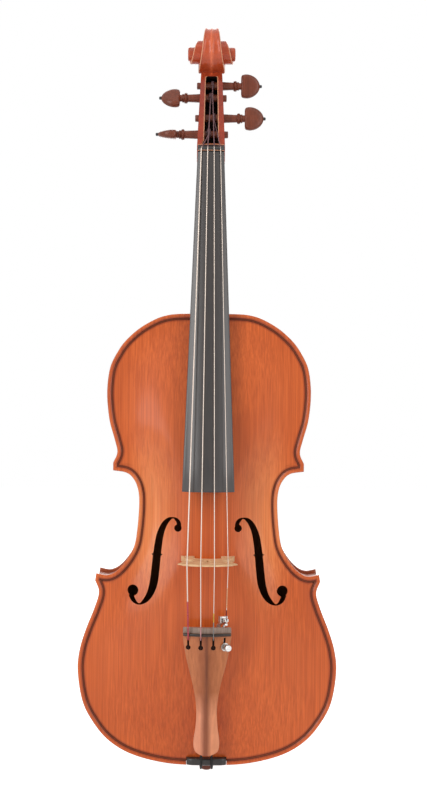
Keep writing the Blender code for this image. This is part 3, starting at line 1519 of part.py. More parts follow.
def make_windings():
    for index, (name, radius) in enumerate(STRINGS):
        axis = peg_axis(peg_of(name)[2])
        inner = PEG_RADIUS + GLUE_GAP
        pitch = 2 * radius + WINDING_SLACK
        start = winding_place(index) - WINDING_TURNS * pitch / 2
        profile = [(start, inner)]
        for k in range(WINDING_TURNS):
            left = start + k * pitch
            profile += [(left, inner + radius), (left + pitch / 2, inner + 2 * radius)]
        end = start + WINDING_TURNS * pitch
        profile += [(end, inner + radius), (end, inner)]
        shape = ring_of([
            [(x, axis[1] + r * math.cos(a), axis[2] + r * math.sin(a)) for x, r in profile]
            for a in np.linspace(0, 2 * math.pi, WINDING_SIDES, endpoint=False)
        ])
        add_object(f"winding_{name}", mesh_of(f"winding_{name}", *shape, axis), "steel", axis)


def ring_of(sections):
    """Points and faces of a closed ring through sections of equal count."""
    rows = len(sections[0])
    faces = []
    for i in range(len(sections)):
        here, there = i * rows, ((i + 1) % len(sections)) * rows
        for k in range(rows):
            after = (k + 1) % rows
            faces.append((here + k, here + after, there + after, there + k))
    return [p for section in sections for p in section], faces


def make_strings():
    for index, (name, radius) in enumerate(STRINGS):
        tube(f"string_{name}", string_route(index, name, radius), radius, "steel")


def string_route(index, name, radius):
    """From just clear of the turns on the peg, over the nut and the bridge, to the tailpiece."""
    _, peg_u, peg_h = peg_axis(peg_of(name)[2])
    coil = PEG_RADIUS + GLUE_GAP + 2 * radius
    lead = (winding_place(index), peg_u + 1.5, peg_h + coil + radius + STRING_GAP)
    nut_x, nut_u, nut_h = string_at(index, -NECK_STOP)
    over_nut = (nut_x, nut_u - NUT_LAND, nut_h - NECK_SLOPE * NUT_LAND)
    route = [lead, over_nut, (nut_x, nut_u, nut_h), string_at(index, 0.0), string_at(index, bridge_u())]
    if name == "a":
        return route + [tuner_hook()]
    x = tail_place(index)
    over_fret = (x, TAILPIECE_START + FRET_AT + FRET_LENGTH / 2, fret_top(x) + radius + STRING_GAP)
    end = TAILPIECE_START + KEYHOLE_END
    before = end - KEYHOLE_RADIUS - 1.6
    return route + [
        over_fret,
        (x, before, tailpiece_top(x, before) + radius + FITTED_GAP),
        (x, end - 0.4, tailpiece_top(x, end) - 1.0),
    ]


# Fine tuner, drawn in its own frame: p across, u down the body, q out of the tailpiece


def tuner_point(p, u, q):
    """The tuner leans outward with the crowned face that it is clamped to."""
    lean = math.radians(TUNER_LEAN)
    foot = tailpiece_top(TUNER_OFFSET, TUNER_HOLE_U)
    x = TUNER_OFFSET + p * math.cos(lean) + q * math.sin(lean)
    return x, u, foot - p * math.sin(lean) + q * math.cos(lean)


def tuner_loft(outline, left, right):
    """A (u, q) outline given thickness across the tuner."""
    return loft([[tuner_point(p, u, q) for u, q in outline] for p in (left, right)])


def tuner_turned(profile):
    """A turned piece on the screw's axis, its rows given as (q, radius)."""
    lean = math.radians(TUNER_LEAN)
    direction = (math.sin(lean), 0, math.cos(lean))
    return turned(profile, tuner_point(0, TUNER_HOLE_U, 0), direction, TUNER_SIDES)


def tuner_hook():
    """Where the treble string lies in the lever's fork."""
    return tuner_point(0, TUNER_PIVOT_U - TUNER_HOOK_BACK, TUNER_HOOK_Q)


def tuner_pivot():
    return tuner_point(0, TUNER_PIVOT_U, TUNER_PIVOT_Q)


def across_tuner(reach, radius):
    """A round rod on the lever's pivot, across the tuner."""
    lean = math.radians(TUNER_LEAN)
    direction = (math.cos(lean), 0, -math.sin(lean))
    return turned([(-reach, radius), (reach, radius)], tuner_pivot(), direction, 12)


def make_tuner_frame(pin_hole):
    """Two cheeks, the floor and the tie between them, and the tube that the screw runs in."""
    top = TUNER_PLATE_Q
    front = TUNER_PIVOT_U - TUNER_CHEEK_FRONT
    rear = TUNER_HOLE_U + TUNER_CHEEK_REAR
    high, low = TUNER_PIVOT_Q + TUNER_CHEEK_TOP, TUNER_PIVOT_Q - TUNER_CHEEK_FOOT
    cheek = [
        (front, low), (front, high), (TAILPIECE_START - 3.4, high), (TAILPIECE_START - 1.0, top + 1.0),
        (TAILPIECE_START + 3.0, top), (rear, top), (rear, top - TUNER_PLATE_THICKNESS),
        (TAILPIECE_START + 1.0, top - 2.2), (TAILPIECE_START - 3.0, low),
    ]
    inside, outside = TUNER_CHEEK_IN, TUNER_CHEEK_OUT
    frame = add_solid("tuner_frame", *tuner_loft(cheek, -outside, -inside), "steel")
    join(frame, cutter("tuner_cheek", *tuner_loft(cheek, inside, outside)))
    between = (inside + outside) / 2
    floor_front, floor_rear = TUNER_HOLE_U - TUNER_CHEEK_REAR, rear - 0.2
    floor_top, floor_under = top - 0.1, top - TUNER_PLATE_THICKNESS + 0.1
    floor = [
        (floor_front, floor_top), (floor_rear, floor_top), (floor_rear, floor_under),
        (floor_front, floor_under),
    ]
    join(frame, cutter("tuner_floor", *tuner_loft(floor, -between, between)))
    tie_front, tie_rear = front + 0.2, front + 0.2 + TUNER_TIE
    tie = [(tie_front, high - 1.3), (tie_front, high - 0.2), (tie_rear, high - 0.2), (tie_rear, high - 1.3)]
    join(frame, cutter("tuner_tie", *tuner_loft(tie, -between, between)))
    tube_rows = [(top - TUNER_PLATE_THICKNESS / 2, TUNER_TUBE_RADIUS), (TUNER_TUBE_TOP, TUNER_TUBE_RADIUS)]
    join(frame, cutter("tuner_tube", *tuner_turned(tube_rows)))
    bore = TUNER_SCREW_RADIUS + GLUE_GAP
    cut(frame, cutter("tuner_bore", *tuner_turned([(top - 4.0, bore), (TUNER_TUBE_TOP + 1.0, bore)])))
    cut(frame, pin_hole)


def make_tuner_screw():
    home = tuner_point(0, TUNER_HOLE_U, 0)
    start = TUNER_ARM_Q + GLUE_GAP
    shaft = tuner_turned([
        (start, TUNER_SCREW_RADIUS - TUNER_SCREW_POINT), (start + TUNER_SCREW_POINT, TUNER_SCREW_RADIUS),
        (TUNER_KNOB_Q - GLUE_GAP, TUNER_SCREW_RADIUS),
    ])
    add_object("tuner_screw", mesh_of("tuner_screw", *shaft, home), "steel", home)
    bevel = TUNER_KNOB_RADIUS - TUNER_KNOB_BEVEL
    end = TUNER_KNOB_Q + TUNER_KNOB_LENGTH
    knob = tuner_turned([
        (TUNER_KNOB_Q, bevel), (TUNER_KNOB_Q + TUNER_KNOB_BEVEL, TUNER_KNOB_RADIUS),
        (end - TUNER_KNOB_BEVEL, TUNER_KNOB_RADIUS), (end, bevel),
    ])
    add_object("tuner_knob", mesh_of("tuner_knob", *knob, home), "steel", home)
    low, high, thick = TUNER_COLLAR
    inner = TUNER_TUBE_RADIUS + GLUE_GAP
    profile = [(low, inner), (low, inner + thick), (high, inner + thick), (high, inner)]
    collar = ring_of([
        [tuner_point(r * math.cos(a), TUNER_HOLE_U + r * math.sin(a), q) for q, r in profile]
        for a in np.linspace(0, 2 * math.pi, TUNER_SIDES, endpoint=False)
    ])
    add_solid("tuner_collar", *collar, "steel")


def make_tuner_lever(pin_hole):
    """The bent lever: a fork that holds the string's ball, and an arm that the screw's point presses."""
    pivot = tuner_pivot()
    low, high = TUNER_PIVOT_Q - 2.0, TUNER_PIVOT_Q + 1.4
    top = TUNER_HOOK_Q + TUNER_HOOK_LIP
    end = TUNER_HOLE_U + TUNER_LEVER_NECK
    outline = [
        (TUNER_PIVOT_U - TUNER_LEVER_NECK, TUNER_PIVOT_Q - 1.4), (TUNER_PIVOT_U - TUNER_LEVER_NECK, top),
        (TUNER_PIVOT_U + 0.6, top), (TUNER_PIVOT_U + TUNER_LEVER_NECK, high),
        (TAILPIECE_START + 1.0, TUNER_ARM_Q + 0.2), (end, TUNER_ARM_Q),
        (end, TUNER_ARM_Q - TUNER_ARM_THICKNESS),
        (TAILPIECE_START, TUNER_ARM_Q - TUNER_ARM_THICKNESS - 0.2), (TUNER_PIVOT_U + 0.6, low),
    ]
    arm = tuner_loft(outline, -TUNER_LEVER_HALF, TUNER_LEVER_HALF)
    lever = add_object("tuner_lever", mesh_of("tuner_lever", *arm, pivot), "steel", pivot)
    cut(lever, pin_hole)
    radius = STRINGS[-1][1]
    bottom = TUNER_HOOK_Q - radius - GLUE_GAP
    slot = [
        (TUNER_PIVOT_U - 3.0, bottom), (TUNER_PIVOT_U - 3.0, top + 3.0), (TUNER_PIVOT_U + 3.0, top + 3.0),
        (TUNER_PIVOT_U + 3.0, bottom),
    ]
    cut(lever, cutter("tuner_fork", *tuner_loft(slot, -radius - GLUE_GAP, radius + GLUE_GAP)))
    ball_at = tuner_point(0, TUNER_PIVOT_U + TUNER_LEVER_NECK + TUNER_BALL_RADIUS, TUNER_HOOK_Q)
    rows = [
        (-TUNER_BALL_RADIUS * math.cos(a), max(TUNER_BALL_RADIUS * math.sin(a), 0.25))
        for a in np.linspace(0, math.pi, 7)
    ]
    ball = turned(rows, ball_at, (1, 0, 0), 12)
    add_object("string_a_ball", mesh_of("string_a_ball", *ball, pivot), "steel", pivot)


def make_tuner():
    add_solid("tuner_pin", *across_tuner(TUNER_PIN_HALF, TUNER_PIN_RADIUS), "steel")
    reach, radius = TUNER_PIN_HALF + FITTED_GAP, TUNER_PIN_RADIUS + GLUE_GAP
    pin_hole = cutter("tuner_pin_hole", *across_tuner(reach, radius))
    make_tuner_frame(pin_hole)
    make_tuner_screw()
    make_tuner_lever(pin_hole)


def make_origin():
    origin = bpy.data.objects.new("viola_origin", None)
    bpy.context.scene.collection.objects.link(origin)
    origin.location = -body_point(*HANGER_AT) * MM


def main():
    clear_scene()
    make_origin()
    shank_cutter()
    make_plates()
    make_ribs()
    make_linings()
    make_blocks()
    make_inside()
    make_peg_holes()
    make_neck()
    make_fingerboard()
    make_nut()
    make_bridge()
    make_tailpiece()
    make_fret()
    make_saddle()
    make_end_button()
    make_tailgut()
    make_pegs()
    make_windings()
    make_strings()
    make_tuner()


main()
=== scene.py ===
"""The looks of a viola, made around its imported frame.

Shapes are drawn in millimetres in the body frame, as in the part's own source: x to the side of the
highest string, u down the body from the upper edge, h forward of the joint between belly and ribs.
place() turns them to the frame's metres, where z runs up to the scroll and -y comes out of the belly.
"""

import json
import math
import bmesh
import bpy
import numpy as np
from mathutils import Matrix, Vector


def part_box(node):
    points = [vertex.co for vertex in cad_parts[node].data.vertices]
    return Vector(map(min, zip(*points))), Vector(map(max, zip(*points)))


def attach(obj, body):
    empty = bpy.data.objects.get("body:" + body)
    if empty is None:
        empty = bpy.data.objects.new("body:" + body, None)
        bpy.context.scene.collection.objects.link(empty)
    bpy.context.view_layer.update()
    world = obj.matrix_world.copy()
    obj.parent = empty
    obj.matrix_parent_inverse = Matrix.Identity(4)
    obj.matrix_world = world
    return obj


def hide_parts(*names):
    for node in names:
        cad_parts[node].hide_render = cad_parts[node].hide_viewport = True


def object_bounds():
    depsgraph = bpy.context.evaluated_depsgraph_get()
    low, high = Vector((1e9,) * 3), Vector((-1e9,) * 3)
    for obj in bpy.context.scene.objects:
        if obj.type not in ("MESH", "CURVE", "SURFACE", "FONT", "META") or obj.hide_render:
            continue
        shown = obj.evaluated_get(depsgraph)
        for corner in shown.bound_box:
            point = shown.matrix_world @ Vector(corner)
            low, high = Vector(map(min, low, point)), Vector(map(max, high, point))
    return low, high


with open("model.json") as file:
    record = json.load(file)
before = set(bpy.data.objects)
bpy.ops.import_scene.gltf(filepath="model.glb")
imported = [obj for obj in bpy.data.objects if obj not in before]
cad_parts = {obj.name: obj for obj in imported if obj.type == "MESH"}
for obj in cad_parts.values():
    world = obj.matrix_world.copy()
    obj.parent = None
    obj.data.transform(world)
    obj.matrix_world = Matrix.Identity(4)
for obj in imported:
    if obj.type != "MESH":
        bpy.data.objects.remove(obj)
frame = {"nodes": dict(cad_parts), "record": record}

cad_low, cad_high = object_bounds()
NODES = frame["nodes"]
MM = 0.001

# The camera, as it stood for the photograph, in metres
BELLY_PLANE_Y = -0.048
CAMERA_DISTANCE = 1.2
FRAME_HEIGHT_AT_BELLY = 0.7176
CAMERA_X = 0.004
CAMERA_Z = -0.3036
CAMERA_ROLL = math.radians(0.44)
SENSOR = 36.0
FLOOR_Z = -0.652
FLOOR_REACH = (4.0, 4.0)
FLOOR_GLOW = 0.75
WORLD_LIGHT = 0.25
WORLD_SHOWN = 1.0

# The body frame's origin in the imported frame, found from the belly's node
ORIGIN_H = 1000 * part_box("top_plate")[1][1]
ORIGIN_U = 1000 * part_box("back_plate")[0][2] + 406.0

# Body
BODY_LENGTH = 406.0
OUTLINE = (
    (
        (0, 0), (36, 1.3), (58, 10.3), (74.5, 23.8), (84, 37.2), (89.7, 50.7), (91.9, 72),
        (89.7, 95.5), (84.8, 113.5), (82.3, 125), (86, 134.5),
    ),
    (
        (86, 141.5), (74, 143.5), (67.5, 149), (63.5, 158), (62.3, 171), (63.7, 193), (66.5, 209),
        (73.5, 222), (82, 231.5), (90.5, 235.4), (100.5, 233.9),
    ),
    (
        (101.5, 240.2), (98, 251), (102.3, 266), (109.4, 284), (114.8, 302), (116.6, 321),
        (112.6, 347), (104.1, 365), (89.3, 383), (67.7, 396), (36, 403.9), (0, 406),
    ),
)
OUTLINE_STEPS = (110, 90, 120)
OUTLINE_INSIDE_BOX = 0.02
RIB_HEIGHT = 38.0
EDGE_THICKNESS = 4.2
EDGE_CREST = 4.5
CREST_INSET = 1.6
CHANNEL_THICKNESS = 2.9
CHANNEL_REACH = 5.6
# Darker band round the plates' edge, its middle and reach inward from the outline: varnish gathered in the channel, and
# painted shade of the channel
CHANNEL_SHADE = (4.6, 3.4)
# Painted highlight paling the flanks of the belly's waist: its middle and reach across, and its middle and reach down
# the body
WAIST_GLOW = ((52.0, 20.0), (185.0, 62.0))
BELLY_ARCH = 18.0
BACK_ARCH = 17.0
ARCH_REACH = (
    (5, 0), (9, 34), (20, 57), (38, 75), (72, 85), (100, 82), (126, 72), (150, 60.5), (171, 55.5),
    (195, 57), (215, 63), (240, 79), (265, 93), (290, 103), (321, 109), (348, 104), (372, 87),
    (389, 60), (397, 34), (401, 0),
)
ARCH_END = 6.0
ARCH_RISE_ABOVE = 150.0
ARCH_RISE_BELOW = 165.0
PLATE_THICKNESS = 3.2
SPINE_SHARE = 0.8
PURFLING = (3.8, 4.4, 4.9, 5.5)
RING_INSETS = (2.2, 2.9, *PURFLING, 6.4, 8.0)
ARCH_RINGS = 26
BUTTON_WIDTH = 24.0
BUTTON_HEIGHT = 14.0
BUTTON_FOOT = 1.5

# Sound holes, on the treble side: the middle of the slot with its width there, and the two eyes
SLOT = (
    (25.6, 190.0, 3.6), (26.4, 186.6, 3.7), (28.4, 184.1, 2.8), (31.2, 182.9, 1.2),
    (34.8, 184.2, 3.2), (38.4, 188.0, 4.8), (41.4, 194.0, 5.8), (43.6, 202.0, 6.6),
    (45.5, 216.0, 7.1), (46.8, 230.0, 7.4), (48.4, 242.0, 7.2), (51.4, 251.0, 6.0),
    (55.8, 257.2, 4.2), (61.2, 260.4, 1.3), (66.0, 257.4, 3.8), (68.6, 252.0, 4.6),
)
UPPER_EYE = (26.8, 191.8, 3.3)
LOWER_EYE = (66.9, 248.4, 4.9)
NOTCH_DEPTH = 1.6
NOTCH_HALF_WIDTH = 1.1
BODY_STOP = 216.0
CUT_OVERRUN = 6.0
CUT_MERGE = 2e-5
FIT = 0.3

# Neck and fingerboard
NECK_STOP = 146.5
NECK_SLOPE = 0.121
NECK_OVERSTAND = 7.0
NECK_THICKNESS = 13.6
NECK_SHOULDER = 2.2
NECK_TOP_INSET = 11.5
HEEL_WIDTH = 30.0
HEEL_REACH = 12.6
MORTISE_DEPTH = 6.0
HEEL_CURVE = (
    (15, 35.0), (18, 26.0), (22, 16.0), (27, 8.0), (34, 3.0), (45, 1.4), (90, 0.6), (135, 0.0),
)
NECK_INTO_HEAD = ((-6.5, 1.3), (-0.5, 4.3), (4.0, 8.3))
FINGERBOARD_LENGTH = 304.5
FINGERBOARD_SIDE = 5.5
FINGERBOARD_RADIUS = 42.0
FINGERBOARD_WIDTH = 46.0
FINGERBOARD_ROUND = 0.8
NUT_WIDTH = 24.0
NUT_LENGTH = 6.0
NUT_OVERHANG = 1.9
NUT_STRING_HEIGHT = 1.0
NUT_BACK = ((0.0, 0.0), (0.06, 0.01), (0.15, 0.04), (0.3, 0.15), (0.4, 0.3), (0.55, 1.2), (0.7, 3.0), (0.85, 4.7), (1.0, 6.4))
NUT_LAND = 2.2

# Head, from the nut: beyond it along the neck and below it, behind the fingerboard's glued face
EYE_BEYOND_NUT = 96.5
EYE_BELOW_NUT = 31.5
SCROLL_RADIUS = 24.84
SCROLL_SHRINK = 0.515
BACK_SHRINK = 0.79
BACK_TURN = 0.25
THROAT_TURN = 0.4722
SCROLL_TURNS = 2.25
SCROLL_STEPS = 108
SCROLL_WIDTHS = (
    (0.0, 5.6), (0.25, 8.9), (0.45, 12.4), (0.75, 12.6), (1.0, 12.8), (1.25, 16.8), (1.5, 20.0),
    (1.75, 21.0), (2.25, 21.4),
)
EYE_RADIUS = 6.2
EYE_HALF_WIDTH = 22.0
EYE_ROUND = 1.2
SIDE_HOLLOW = 1.2
FLUTE_DEPTH = 1.3
CHAMFER = 0.75
# Reach either side of the head's middle of the painted highlight along its spine
RIDGE_REACH = 2.2
# Painted shade darkening the pegbox, between these heights of the frame's z in metres
PEGBOX_SHADE = (-0.090, 0.008)
PEGBOX_FRONT_BELOW = 0.8
PEGBOX_WIDTH_AT_NUT = 25.4
PEGBOX_WIDTH_AT_THROAT = 19.6
PEGBOX_BACK = (
    (-11.5, 12.1), (-4.5, 15.0), (1.0, 21.5), (6.0, 29.0), (13.5, 34.5), (25.5, 39.3), (43.5, 45.5),
    (61.5, 51.5), (79.5, 56.4),
)
PEGBOX_START = -8.5
PEGBOX_FLOOR = 6.5
PEGBOX_WALL_AT_NUT = 6.2
PEGBOX_WALL_AT_THROAT = 4.6
CAVITY = ((8.3, -1.2, 7.0), (11.5, 0.0, 0.0), (70.5, 0.0, 0.0), (75.4, 0.0, 3.0))
CAVITY_ROOF = 12.0
CAVITY_ROUND = 1.8
CAVITY_LIP = 0.8
CAVITY_FLARE = 1.0

# Pegs: name, side of the head, turn of the head in degrees, length outside
PEGS = (("c", -1, 82.0, 19.3), ("g", -1, 40.0, 18.4), ("d", 1, 0.0, 17.2), ("a", 1, 12.0, 19.2))
JOINTS = {joint["child"]: joint for joint in frame["record"]["behaviour"]["joints"]}
PEG_RADIUS = 4.0
PEG_TIP_RADIUS = 3.2
PEG_TIP_OUT = 3.4
PEG_HOLE_ALLOWANCE = 12.0
PEG_CLEARANCE = 0.3
PEG_WAIST_RADIUS = 3.5
PEG_NECK_RADIUS = 3.2
PEG_NECK_LENGTH = 1.8
PEG_RING_RADIUS = 5.0
PEG_RING_LENGTH = 3.4
PEG_GROOVE = 0.35
PEG_BEAD_RADIUS = 4.1
PEG_BEAD_LENGTH = 2.0
PEG_HEAD_LENGTH = 17.4
PEG_HEAD_WIDTH = 22.4
PEG_HEAD_THICKNESS = 10.2
PEG_HEAD_OUTLINE = (
    (0.0, 0.72), (0.012, 0.81), (0.05, 0.91), (0.14, 0.97), (0.28, 1.0), (0.40, 0.985), (0.52, 0.94),
    (0.62, 0.875), (0.72, 0.785), (0.81, 0.67), (0.90, 0.51), (0.96, 0.34), (1.0, 0.17),
)
PEG_HEAD_THICKNESSES = (
    (0.0, 0.70), (0.05, 0.90), (0.12, 0.97), (0.3, 1.0), (0.55, 0.86), (0.8, 0.60), (0.94, 0.38), (1.0, 0.22),
)
PEG_HEAD_DISH = 0.22
PIP_RADIUS = 1.5
PIP_LENGTH = 2.1
PIP_ROUND = 0.9

# Strings, from the bass side: name, radius
STRINGS = (("c", 0.58), ("g", 0.45), ("d", 0.38), ("a", 0.33))
NUT_SPACING = 17.4
BRIDGE_SPACING = 35.4
TAIL_SPACING = 33.0
STRING_GAP = 0.3

WINDING_TURNS = 3
WINDING_SPREAD = 0.28
WINDING_SLACK = 0.05
SILK_THICKNESS = 0.07
SILKS = {
    "c": (("silk_c", 252.0, 288.0),),
    "g": (("silk_g", 274.0, 288.0),),
    "d": (("silk_d", 262.0, 270.4), ("silk_d_end", 270.6, 288.0)),
    "a": (("silk_a_top", 240.0, 258.0), ("silk_a", 260.0, 270.4)),
}
STRING_DIVE = 11.4
KNOT_LENGTH = 9.0
KNOT_RADIUS = 2.0

# Bridge: half of its outline, from under the end of its crown down to the foot, and the arch between
BRIDGE_HEIGHT = 57.0
BRIDGE_ARCH_RADIUS = 41.0
BRIDGE_CROWN_REACH = 21.5
BRIDGE_CROWN_DROP = 3.5
BRIDGE_SIDE = (
    (22.6, 49.0), (26.0, 42.8), (23.6, 39.4), (18.0, 38.0), (17.0, 40.4), (19.2, 41.8),
    (17.6, 43.8), (14.0, 43.2), (12.4, 39.6), (13.6, 35.6), (17.2, 33.4), (20.0, 30.0), (21.0, 25.4),
)
BRIDGE_ARCHWAY = ((13.6, 26.8), (8.6, 29.6), (0.0, 30.6))
BRIDGE_HEART = ((0, 44.4), (1.8, 46.2), (3.9, 45.4), (4.4, 43.0), (2.8, 40.4), (0.9, 38.4), (0, 35.6))
BRIDGE_FOOT_REACH = 23.75
BRIDGE_FOOT_LENGTH = 12.0
BRIDGE_FOOT_HEIGHT = 2.6
BRIDGE_ANKLE = 2.0
BRIDGE_THICK_UP_TO = 20.0
BRIDGE_FOOT_THICKNESS = 4.8
BRIDGE_TOP_THICKNESS = 1.5
BRIDGE_WINGS = (18.0, 26.0)
BRIDGE_WINGS_ABOVE = 36.0
BRIDGE_WING_THICKNESS = 0.7

# Saddle, tailpiece with its widths at shares of its length, and end button
SADDLE_WIDTH = 35.6
SADDLE_LENGTH = 6.4
SADDLE_START = BODY_LENGTH - SADDLE_LENGTH - 1.4
SADDLE_HEIGHT = 9.0
SADDLE_ROUND = 1.8
SADDLE_ENDS = ((0.0, 3.4), (0.5, 2.4), (2.0, 1.4), (4.0, 0.7), (6.0, 0.3))
TAILPIECE_LENGTH = 117.0
TAILPIECE_START = SADDLE_START - 5.2 - TAILPIECE_LENGTH
TAILPIECE_WIDTHS = (
    (0.0, 42.0), (0.07, 42.6), (0.17, 39.5), (0.3, 33.0), (0.43, 25.5), (0.556, 20.0), (0.667, 18.2),
    (0.786, 20.0), (0.889, 23.0), (0.949, 22.0), (0.983, 16.0), (1.0, 7.0),
)
TAILPIECE_FRONT = 41.0
TAILPIECE_BACK = 20.0
TAILPIECE_THICKNESS = 4.6
TAILPIECE_EDGE = 1.6
TAILPIECE_HOLLOW = 1.0
TAILPIECE_CROWN = 4.4
KEYHOLE_START = 9.0
KEYHOLE_END = 18.0
KEYHOLE_SLIT = 0.9
KEYHOLE_RADIUS = 2.1
TUNER_OFFSET = 14.8
TUNER_LEAN = 25.0
TUNER_HOLE_U = TAILPIECE_START + 17.0
TUNER_HOLE_RADIUS = 2.7
TUNER_HOOK_OUT = 6.6
TUNER_HOOK_Q = 4.2
FRET_AT = 5.2
FRET_LENGTH = 2.4
FRET_HEIGHT = 2.0
DUST_EDGE = 0.4
# Painted sheen on the tailpiece: paler towards its sides, with a painted dark reflection down its middle; its reach
# across, and where the narrower band of the lower end takes over, in mm from the tailpiece's start
SHEEN_REACH = 12.0
SHEEN_NARROWS = (58.0, 80.0)
TAILGUT_RADIUS = 1.0
TAILGUT_SPREAD = 4.6
TAILGUT_GRIP = 9.0
TAILGUT_DEPTH = 8.2
KNOB_Q = 5.4
KNOB_RADIUS = 3.1
KNOB_LENGTH = 4.6
KNOB_BEVEL = 0.7
KNOB_RIDGES = 24
KNOB_RIDGE_DEPTH = 0.28
END_BUTTON_RADIUS = 6.2
END_BUTTON_NECK = 4.4
END_BUTTON_NECK_LENGTH = 3.8
END_BUTTON_OUT = 12.0
END_BUTTON_FLAT = 3.0
RIB_INSET = 3.0


def place(x, u, h):
    """A body frame point in the frame's metres."""
    return (x * MM, (ORIGIN_H - h) * MM, (ORIGIN_U - u) * MM)


# Curves and meshes


def smooth_curve(points, steps):
    """Catmull-Rom through the points, in even steps along its length."""
    rows = np.array(points, float)
    padded = np.vstack([2 * rows[0] - rows[1], rows, 2 * rows[-1] - rows[-2]])
    t = np.linspace(0, 1, 48, endpoint=False)[:, None]
    pieces = []
    for before, start, end, after in zip(padded, padded[1:], padded[2:], padded[3:]):
        linear = (end - before) * t
        square = (2 * before - 5 * start + 4 * end - after) * t**2
        cube = (3 * start - before - 3 * end + after) * t**3
        pieces.append(0.5 * (2 * start + linear + square + cube))
    fine = np.vstack([*pieces, rows[-1:]])
    along = np.concatenate([[0], np.cumsum(np.linalg.norm(np.diff(fine, axis=0), axis=1))])
    even = np.linspace(0, along[-1], steps + 1)
    return np.stack([np.interp(even, along, column) for column in fine.T], axis=1)


def smooth_value(table, at):
    """The table's values at places, eased between its rows without overshoot."""
    places = np.array([row[0] for row in table], float)
    values = np.array([row[1] for row in table], float)
    slopes = np.gradient(values, places)
    at = np.clip(np.asarray(at, float), places[0], places[-1])
    i = np.clip(np.searchsorted(places, at, side="right") - 1, 0, len(places) - 2)
    span = places[i + 1] - places[i]
    t = (at - places[i]) / span
    rise = values[i + 1] - values[i]
    steepest = 3 * np.abs(rise) / span
    first = np.clip(slopes[i], -steepest, steepest)
    last = np.clip(slopes[i + 1], -steepest, steepest)
    first = np.where(rise * first < 0, 0.0, first)
    last = np.where(rise * last < 0, 0.0, last)
    return (
        values[i] * (2 * t**3 - 3 * t**2 + 1)
        + span * first * (t**3 - 2 * t**2 + t)
        + values[i + 1] * (3 * t**2 - 2 * t**3)
        + span * last * (t**3 - t**2)
    )


def mirrored(points):
    return [(-p[0], *p[1:]) for p in points]


class Skin:
    """Points and faces of a mesh, put together row by row; each face has the number of its material."""

    def __init__(self):
        self.points = []
        self.faces = []
        self.slots = []

    def row(self, points):
        start = len(self.points)
        self.points.extend(tuple(float(c) for c in p) for p in points)
        return list(range(start, len(self.points)))

    def face(self, corners, slot=0):
        self.faces.append(tuple(corners))
        self.slots.append(slot)

    def band(self, first, second, slot=0, closed=False):
        """Faces between two rows of points of equal count."""
        count = len(first)
        for i in range(count if closed else count - 1):
            j = (i + 1) % count
            self.face((first[i], first[j], second[j], second[i]), slot)

    def loft(self, sections, slot=0, strips=None):
        """A closed solid through sections of equal count; strips give places round it their own slots."""
        rows = [self.row(section) for section in sections]
        for here, there in zip(rows, rows[1:]):
            start = len(self.slots)
            self.band(here, there, slot, closed=True)
            for i, other in (strips or {}).items():
                self.slots[start + i] = other
        self.face(rows[0], slot)
        self.face(rows[-1], slot)

    def turned(self, profile, start, direction, count, slot=0):
        """A solid of revolution: (distance along, radius) rows about an axis."""
        along = np.array(direction, float) / np.linalg.norm(direction)
        helper = (0, 1, 0) if abs(along[0]) > 0.5 else (1, 0, 0)
        side = np.cross(along, helper)
        side /= np.linalg.norm(side)
        other = np.cross(along, side)
        angles = np.linspace(0, 2 * math.pi, count, endpoint=False)[:, None]
        circle = side * np.cos(angles) + other * np.sin(angles)
        self.loft([np.array(start) + along * far + circle * radius for far, radius in profile], slot)

    def tube(self, route, radius, slot=0, count=12):
        """A round cord along a route."""
        places = np.array(route, float)
        ahead = np.gradient(places, axis=0)
        ahead /= np.linalg.norm(ahead, axis=1)[:, None]
        angles = np.linspace(0, 2 * math.pi, count, endpoint=False)[:, None]
        sections = []
        for place_on, along in zip(places, ahead):
            side = np.cross(along, (1, 0, 0) if abs(along[0]) < 0.8 else (0, 0, 1))
            side /= np.linalg.norm(side)
            other = np.cross(along, side)
            sections.append(place_on + radius * (side * np.cos(angles) + other * np.sin(angles)))
        self.loft(sections, slot)


def mesh_of(name, skin, materials):
    mesh = bpy.data.meshes.new(name)
    mesh.from_pydata([place(*p) for p in skin.points], [], skin.faces)
    mesh.polygons.foreach_set("material_index", skin.slots)
    build = bmesh.new()
    build.from_mesh(mesh)
    bmesh.ops.remove_doubles(build, verts=build.verts, dist=1e-6)
    bmesh.ops.triangulate(build, faces=[f for f in build.faces if len(f.verts) > 4])
    bmesh.ops.recalc_face_normals(build, faces=build.faces)
    build.to_mesh(mesh)
    build.free()
    for made in materials:
        mesh.materials.append(made)
    return mesh


def show(name, skin, materials, body, *nodes, angle=35):
    """A finished piece that rides on a body and stands for nodes of the frame."""
    mesh = mesh_of(name, skin, materials)
    mesh.shade_smooth()
    mesh.set_sharp_from_angle(angle=math.radians(angle))
    piece = bpy.data.objects.new(name, mesh)
    bpy.context.scene.collection.objects.link(piece)
    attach(piece, body)
    if nodes:
        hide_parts(*nodes)
    return piece


def cut_away(piece, name, skin, *materials):
    """Cuts a skin's solid out of a piece; the cut faces take the materials."""
    mesh = mesh_of(name, skin, materials)
    tool = bpy.data.objects.new(name, mesh)
    bpy.context.scene.collection.objects.link(tool)
    modifier = piece.modifiers.new(name, "BOOLEAN")
    modifier.operation = "DIFFERENCE"
    modifier.solver = "EXACT"
    modifier.use_hole_tolerant = True
    modifier.material_mode = "TRANSFER"
    modifier.object = tool
    tool.matrix_world = piece.matrix_world.copy()
    piece_mesh_from_modifiers(piece)
    bpy.data.objects.remove(tool, do_unlink=True)


